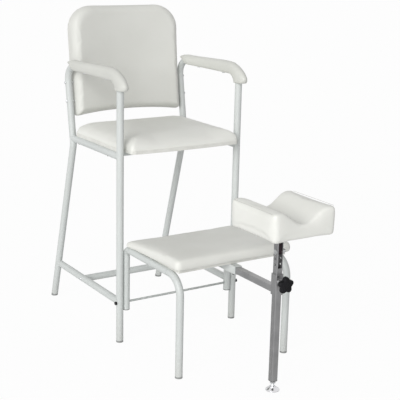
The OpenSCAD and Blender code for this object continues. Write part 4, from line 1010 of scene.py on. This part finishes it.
def bench_low_at(q):
    """The underside, which rises to the front."""
    return BENCH_LOW + BENCH_LIFT * bench_rise(q[:, 1])


def bench_top_at(q):
    """The top, which rises in a quarter of a wave and is level at the front."""
    return BENCH_LOW + BENCH_REAR_T + BENCH_SWELL * np.sin(np.pi / 2 * bench_rise(q[:, 1]))


def bench_trim(co):
    """Keeps the lower edge over the rails and sinks the underside over the board."""
    mm = co / MM
    flat = np.column_stack([mm[:, 0], mm[:, 1] - Y_SHIFT])
    low = bench_low_at(flat)
    over_board = inside(flat, bench_shape(22.0)) & (mm[:, 2] < low + 8)
    mm[:, 2] = np.maximum(mm[:, 2], np.where(over_board, BENCH_LOW + BENCH_POCKET, low))
    return mm * MM


bench = cushion_form("bench_cover", bench_shape, BENCH_SIDES, bench_low_at, bench_top_at, BENCH_CROWN, place)
upholstered(bench, "bench_cushion", "chair", 3.5, trim=bench_trim)

# %% [markdown]
# ## Leg rest
# The leg rest is a block of foam with a valley for the calf. The front edge of the valley stands a little
# above its floor, so the leg lies in a shallow dish.

# %% Leg rest cushion
REST_W, REST_L, REST_LOW, REST_H, VALLEY, DISH = 236.0, 236.0, 535.0, 91.0, 45.0, 9.0
REST_Y = POST_Y - 14
REST_SIDES = [(7.0, 0.0), (3.2, 0.03), (1.8, 0.1), (1.5, 0.4), (2.0, 0.75), (4.0, 0.9), (9.0, 0.98)]


def rest_corners(g):
    """The corners of the leg rest, about its own middle."""
    w, half = REST_W / 2 - g, REST_L / 2 - g
    return [(w, -half), (w, half), (-w, half), (-w, -half)]


rest_shape = rounded_outline(rest_corners, [18, 18, 18, 18], [2.4, 2.4, 2.4, 2.4], 5.0)


def rest_top_at(q):
    """A valley from side to side, a little deeper in its middle than at its two ends."""
    u = np.clip(np.abs(q[:, 0]) / (REST_W / 2 * 0.82), 0, 1)
    valley = (1 + np.cos(np.pi * u)) / 2
    dish = DISH * np.clip(1 - (q[:, 1] / (REST_L / 2)) ** 2, 0, 1)
    return REST_LOW + REST_H - (VALLEY + dish) * valley


def rest_place(points):
    """Points about the leg rest's middle, as metres in the part's frame."""
    return place(points + np.array([0, REST_Y, 0]))


def rest_trim(co):
    """Flattens the underside and sinks its middle, where the board lies."""
    mm = co / MM
    local = np.column_stack([mm[:, 0], mm[:, 1] - Y_SHIFT - REST_Y])
    over_board = inside(local, rest_shape(13.0)) & (mm[:, 2] < REST_LOW + 10)
    low = np.where(over_board, REST_LOW + 2.0, REST_LOW)
    mm[:, 2] = np.maximum(mm[:, 2], low)
    return mm * MM


leg_rest = cushion_form("leg_rest_cover", rest_shape, REST_SIDES, lambda q: np.full(len(q), REST_LOW),
                        rest_top_at, [(30, 1.0)], rest_place, spacing=6.0)
upholstered(leg_rest, "leg_rest_cushion", "leg_rest", 2.5, voxel=4.5, trim=rest_trim)

# %% [markdown]
# ## Arm pads
# An arm pad is foam wrapped round the arm tube. It starts with a full nose that hangs over the front bend,
# runs flat along the arm and ends in a thin tip behind. It is made of sections across the tube, each an open
# hoop with the tube's groove, and the sections are spaced closely by smooth interpolation between a few that
# give its form.

# %% Sections of an arm pad
ARM_END_Y = ARM_CORNER_Y - CORNER_BEND * math.tan((math.radians(90) + LEAN_TURN) / 2)
PAD_W, PAD_RISE, PAD_NOSE, PAD_TIP, TIP_T = 36.0, 34.0, 49.0, 36.0, 5.0
GROOVE_R = 13.1
NOSE = [(0.96, 0.35), (0.92, 0.8), (0.865, 1), (0.81, 0.97), (0.72, 0.7), (0.61, 0.35), (0.5, 0.05),
        (0.36, -0.17), (0.18, -0.27), (0, -0.13)]
TOP = [(0.17, 1), (0.4, 0.94), (0.62, 0.87), (0.84, 0.79)]
TAIL = [(-0.6, 1.14, -0.9, 1), (-0.15, 1.02, -0.7, 1), (0.2, 0.7, -0.1, 0.97), (0.45, 0.49, 0.35, 0.85),
        (0.7, 0.28, 0.7, 0.78), (0.9, 0.12, 0.9, 0.74), (1, -0.12, 1, 0.7)]


def tube_fall(y):
    """How far the tube's upper side has dropped at a distance into its rear bend."""
    r = CORNER_BEND + TUBE_R
    return 0.0 if y < 0 else r - math.sqrt(r * r - y * y)


def pad_sections():
    """Rows of centre y and z, normal y and z, top, lower edge, groove height and share of the width."""
    rows = []
    for f, t in NOSE:
        a = math.radians(90 * f)
        rows.append((NOSE_BEND * (1 - math.sin(a)), ARM_Z - NOSE_BEND * (1 - math.cos(a)), -math.sin(a),
                     math.cos(a), PAD_RISE + t * (PAD_NOSE - PAD_RISE), -TUBE_R * 0.9, 0.0, 1.0))
    for f, t in TOP:
        rows.append((f * ARM_END_Y + (1 - f) * NOSE_BEND * 0.8, ARM_Z, 0, 1, PAD_RISE * t, -TUBE_R * 0.9,
                     0.0, 1.0))
    for f, t, b, slim in TAIL:
        y = f * PAD_TIP
        low = b * TUBE_R if b < 0 else b * (TUBE_R - TIP_T / 2)
        rows.append((ARM_END_Y + y, ARM_Z, 0, 1, low + TIP_T + max(0, t) * (PAD_RISE - TIP_T), low,
                     -tube_fall(y), slim))
    return np.array(rows)


def closely(rows, parts):
    """Rows with more rows between them, on a smooth curve through all of them."""
    padded_rows = np.vstack([2 * rows[0] - rows[1], rows, 2 * rows[-1] - rows[-2]])
    out = []
    for i in range(len(rows) - 1):
        p0, p1, p2, p3 = padded_rows[i:i + 4]
        for k in range(parts):
            t = k / parts
            out.append(0.5 * (2 * p1 + (p2 - p0) * t + (2 * p0 - 5 * p1 + 4 * p2 - p3) * t ** 2
                              + (3 * p1 - p0 - 3 * p2 + p3) * t ** 3))
    return np.array(out + [rows[-1]])


# %% Arm pad mesh
def arm_form(name, x):
    """Hoops over the pad and back through its groove, joined into one closed skin."""
    over, through = 20, 16
    hoops = []
    for cy, cz, ny, nz, top, low, groove, slim in closely(pad_sections(), 3):
        half, height = slim * PAD_W / 2 - 0.4, top - low
        start = math.asin(max(-0.9, min(0.9, (low - groove) / GROOVE_R)))
        ring = [(0.86 * half, low + 0.3), (half, low + height * 0.22)]
        for j in range(over + 1):
            t = math.pi * j / over
            ring.append((half * math.cos(t), low + height * (0.42 + 0.56 * math.sin(t))))
        ring += [(-half, low + height * 0.22), (-0.86 * half, low + 0.3)]
        for j in range(through + 1):
            t = math.pi - start - (math.pi - 2 * start) * j / through
            lip = low + math.sin(math.pi * j / through)
            ring.append((GROOVE_R * math.cos(t), max(lip, groove + GROOVE_R * math.sin(t))))
        length = math.hypot(ny, nz)
        hoops.append([(x + u, cy + ny / length * v, cz + nz / length * v) for u, v in ring])
    count = len(hoops[0])
    verts = [p for hoop in hoops for p in hoop]
    last = (len(hoops) - 1) * count
    ends = [tuple(range(count)), tuple(last + i for i in range(count))]
    return closed_skin(name, place(verts), ring_faces(count, len(hoops)) + ends)


def arm_trim(x):
    """Keeps an arm pad's groove clear of the straight arm tube."""
    def trim(co):
        mm = co / MM
        y = mm[:, 1] - Y_SHIFT
        u, v = mm[:, 0] - x, mm[:, 2] - ARM_Z
        near = np.hypot(u, v)
        bore = TUBE_R + 0.4
        straight = (y > NOSE_BEND) & (y < ARM_END_Y)
        push = np.where(straight & (near < bore), bore / np.maximum(near, 1), 1)
        mm[:, 0] = x + u * push
        mm[:, 2] = ARM_Z + v * push
        return mm * MM
    return trim


# %% Both arm pads
# Both pads take the darker arm pad vinyl copy, which is painted shade.
for side, sign in (("left", -1), ("right", 1)):
    pad = arm_form("arm_cover_" + side, sign * FRAME_X)
    upholstered(pad, "arm_pad_" + side, "chair", 1.0, voxel=2.6,
                trim=arm_trim(sign * FRAME_X), rounds=3, cover=arm_vinyl_painted_shade)

# %% [markdown]
# ## Star knob
# The clamp's knob is a moulded star with five lobes and rounded edges. Its outline is a circle whose radius
# swells five times, and rings of that outline, drawn in towards both faces, round the edges.

# %% Star knob
KNOB_AT = (0.0, POST_Y, KNOB_Z)
KNOB_FRONT, KNOB_BACK, NECK = -52.0, -36.0, 12.0
WAIST_R, LOBE_RISE = 20.2, 7.4


def star(scale, count=120):
    """One ring of the star, with a lobe upwards."""
    rows = []
    for a in np.linspace(0, 2 * math.pi, count, endpoint=False):
        lobe = (0.5 + 0.5 * math.cos(5 * a)) ** 0.8
        radius = (WAIST_R + LOBE_RISE * lobe) * scale
        rows.append((radius * math.sin(a), radius * math.cos(a)))
    return rows


def lathe(name, rings, to_frame, material):
    """A closed skin over rings that all have as many points. The first and last ring close in a fan."""
    count = len(rings[0])
    verts = [p for ring in rings for p in ring]
    faces = ring_faces(count, len(rings))
    for ring, start in ((rings[0], 0), (rings[-1], (len(rings) - 1) * count)):
        verts.append(tuple(np.mean(ring, axis=0)))
        faces += [(start + i, start + (i + 1) % count, len(verts) - 1) for i in range(count)]
    turned = closed_skin(name, to_frame(verts), faces)
    turned.data.materials.append(material)
    turned.data.shade_smooth()
    return turned


behind = [(0.30, NECK / 2), (0.32, NECK / 2 - 0.3), (0.34, 0.4), (0.84, 0.0), (0.93, -0.6), (0.98, -2.0),
          (1.0, -4.5)]
before = [(1.0, 5.0), (0.97, 2.4), (0.9, 0.8), (0.8, 0.0), (0.62, -0.2), (0.5, 1.2), (0.46, 1.3), (0.42, 0.4),
          (0.2, -0.3)]
knob_rings = [(scale, KNOB_BACK + y) for scale, y in behind]
knob_rings += [(scale, KNOB_FRONT + y) for scale, y in before]
star_knob = lathe(
    "star_knob_moulded", [[(u, y, v) for u, v in star(scale)] for scale, y in knob_rings],
    lambda points: place(np.array(points) + np.array(KNOB_AT)), black_plastic)
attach(star_knob, "clamp_knob")
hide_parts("star_knob")
print(star_knob.name, len(star_knob.data.polygons), "faces")

# %% [markdown]
# ## Foot pad
# The foot is turned and polished: a flat rim, a dome and a collar round the stud.

# %% Foot pad
FOOT_PROFILE = [(22.0, 0.0), (22.5, 0.5), (22.5, 1.9), (22.2, 2.4), (20.0, 4.4), (17.0, 6.6), (13.5, 8.8),
                (10.8, 10.4), (10.0, 11.2), (10.0, 13.4), (9.5, 14.0), (5.9, 14.0), (5.5, 13.5), (5.5, 5.5)]
turns = np.linspace(0, 2 * math.pi, 72, endpoint=False)
foot_rings = [[(r * math.cos(a), r * math.sin(a) + POST_Y, z) for a in turns] for r, z in FOOT_PROFILE]
foot = lathe("foot_pad_turned", foot_rings, place, chrome)
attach(foot, "foot_pad")
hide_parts("foot_pad")
print(foot.name, len(foot.data.polygons), "faces")

# %% [markdown]
# ## Welts
# The leg rest's cover is sewn along the upper edge of each side, and the seam shows as a fine raised line. A
# thin tube swept along the edge stands for the folded seam. Its vinyl is darker than the cover's, which is
# painted shade along that edge.

# %% Seam along the leg rest's upper side edges
SEAM_R, SEAM_INSET, SEAM_END = 0.6, 4.2, 20.0
SEAM_Z = REST_LOW + REST_H * 0.955
for side, sign in (("left", -1), ("right", 1)):
    rows = [(sign * (REST_W / 2 - SEAM_INSET), REST_Y + t * (REST_L / 2 - SEAM_END), SEAM_Z)
            for t in np.linspace(-1, 1, 41)]
    welt = grow("leg_rest_seam_" + side, place(rows), chain(len(rows)), bent_tube,
                {"Tube Radius": SEAM_R * MM, "Sides": 8, "Material": welt_vinyl_painted_shade}, {"bend": [0.0] * len(rows)})
    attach(welt, "leg_rest")
    print(welt.name, len(welt.data.polygons), "faces")

# %% [markdown]
# ## Stage
# A plain pale floor, a white surround, one far soft lamp from the left and a weak one near the floor. They
# light the object so that a colour renders about as it is written. The background is white because of what
# the camera sees, not because of more light on the object.

# %% Surround
SKY_STRENGTH, SKY_SEEN_STRENGTH = 0.46, 0.98
world = bpy.data.worlds.new("white surround")
scene.world = world
world.use_nodes = True
sky = world.node_tree
sky_light = sky.nodes["Background"]
sky_light.inputs["Color"].default_value = (1, 1, 1, 1)
sky_light.inputs["Strength"].default_value = SKY_STRENGTH
sky_seen = sky.nodes.new("ShaderNodeBackground")
sky_seen.inputs["Color"].default_value = (1, 1, 1, 1)
sky_seen.inputs["Strength"].default_value = SKY_SEEN_STRENGTH
sky_path = sky.nodes.new("ShaderNodeLightPath")
seen = sky.nodes.new("ShaderNodeMath")
seen.operation = "MAXIMUM"
seen_too = sky.nodes.new("ShaderNodeMath")
seen_too.operation = "MAXIMUM"
sky_mix = sky.nodes.new("ShaderNodeMixShader")
sky.links.new(sky_path.outputs["Is Camera Ray"], seen.inputs[0])
sky.links.new(sky_path.outputs["Is Glossy Ray"], seen.inputs[1])
sky.links.new(seen.outputs["Value"], seen_too.inputs[0])
sky.links.new(sky_path.outputs["Is Transmission Ray"], seen_too.inputs[1])
sky.links.new(seen_too.outputs["Value"], sky_mix.inputs["Fac"])
sky.links.new(sky_light.outputs["Background"], sky_mix.inputs[1])
sky.links.new(sky_seen.outputs["Background"], sky_mix.inputs[2])
sky.links.new(sky_mix.outputs["Shader"], sky.nodes["World Output"].inputs["Surface"])

# %% [markdown]
# The floor is a plain sheet. Nearly all of what the camera sees of it is a white glow, and the small rest is
# a real surface that takes the chair's shadow.

# %% Floor
FLOOR_HALF, FLOOR_GLOW_SHARE = 30, 0.95
floor_mesh = bpy.data.meshes.new("floor")
floor_corners = [(-FLOOR_HALF, -FLOOR_HALF, 0), (FLOOR_HALF, -FLOOR_HALF, 0), (FLOOR_HALF, FLOOR_HALF, 0),
                 (-FLOOR_HALF, FLOOR_HALF, 0)]
floor_mesh.from_pydata(floor_corners, [], [(0, 1, 2, 3)])
floor = link(bpy.data.objects.new("floor", floor_mesh))
floor_look = bpy.data.materials.new("pale floor")
floor_look.use_nodes = True
floor_tree = floor_look.node_tree
floor_shader = floor_tree.nodes["Principled BSDF"]
floor_shader.inputs["Base Color"].default_value = (0.9, 0.9, 0.9, 1)
floor_shader.inputs["Roughness"].default_value = 0.9
floor_shader.inputs["Specular IOR Level"].default_value = 0.1
floor_glow = floor_tree.nodes.new("ShaderNodeEmission")
floor_path = floor_tree.nodes.new("ShaderNodeLightPath")
floor_share = floor_tree.nodes.new("ShaderNodeMath")
floor_share.operation = "MULTIPLY"
floor_share.inputs[1].default_value = FLOOR_GLOW_SHARE
floor_mix = floor_tree.nodes.new("ShaderNodeMixShader")
floor_tree.links.new(floor_path.outputs["Is Camera Ray"], floor_share.inputs[0])
floor_tree.links.new(floor_share.outputs["Value"], floor_mix.inputs["Fac"])
floor_tree.links.new(floor_shader.outputs["BSDF"], floor_mix.inputs[1])
floor_tree.links.new(floor_glow.outputs["Emission"], floor_mix.inputs[2])
floor_tree.links.new(floor_mix.outputs["Shader"], floor_tree.nodes["Material Output"].inputs["Surface"])
floor_mesh.materials.append(floor_look)


# %% Lamps
def far_lamp(name, towards, strength, spread_deg):
    """A far lamp, so that the whole chair is lit evenly. Towards points from the chair to the lamp."""
    light = bpy.data.lights.new(name, "SUN")
    light.energy = strength
    light.angle = math.radians(spread_deg)
    holder = link(bpy.data.objects.new(name, light))
    holder.rotation_mode = "QUATERNION"
    holder.rotation_quaternion = (-Vector(towards)).to_track_quat("-Z", "Y")
    return holder


def near_lamp(name, at, aim, size, watts):
    """A square soft lamp that looks at a point."""
    light = bpy.data.lights.new(name, "AREA")
    light.size = size
    light.energy = watts
    holder = link(bpy.data.objects.new(name, light))
    holder.location = at
    holder.rotation_mode = "QUATERNION"
    holder.rotation_quaternion = (Vector(aim) - Vector(at)).to_track_quat("-Z", "Y")
    return holder


far_lamp("key from the left", (-0.77, -0.49, 0.41), 1.95, 40)
near_lamp("low fill", (-2.0, -2.6, 0.5), (0, -0.2, 0.35), 1.6, 12)

# %% [markdown]
# ## Camera
# The camera stands where the photograph was taken from, which was worked out from lines of the object that
# are level, upright or equal. It looks down a little and is rolled by about a degree.

# %% Camera
CAMERA_AT = Vector((-1.79479, -2.84611, 1.38939))
YAW, PITCH, ROLL = math.radians(-32.95), math.radians(14.76), math.radians(1.38)
FOCAL_PX, FRAME_PX, CENTRE_PX = 1001.26, 400.0, (203.212, 201.396)
ahead = Vector((-math.sin(YAW) * math.cos(PITCH), math.cos(YAW) * math.cos(PITCH), -math.sin(PITCH)))
right = Vector((math.cos(YAW), math.sin(YAW), 0))
above = right.cross(ahead)
rolled_right = right * math.cos(ROLL) + above * math.sin(ROLL)
rolled_above = above * math.cos(ROLL) - right * math.sin(ROLL)
camera_data = bpy.data.cameras.new("camera")
camera_data.sensor_width = 36.0
camera_data.lens = FOCAL_PX / FRAME_PX * camera_data.sensor_width
camera_data.shift_x = -(CENTRE_PX[0] - FRAME_PX / 2) / FRAME_PX
camera_data.shift_y = (CENTRE_PX[1] - FRAME_PX / 2) / FRAME_PX
camera = link(bpy.data.objects.new("camera", camera_data))
turn = Matrix((rolled_right, rolled_above, -ahead)).transposed().to_4x4()
camera.matrix_world = Matrix.Translation(CAMERA_AT) @ turn
scene.camera = camera
scene.view_settings.view_transform = "Standard"
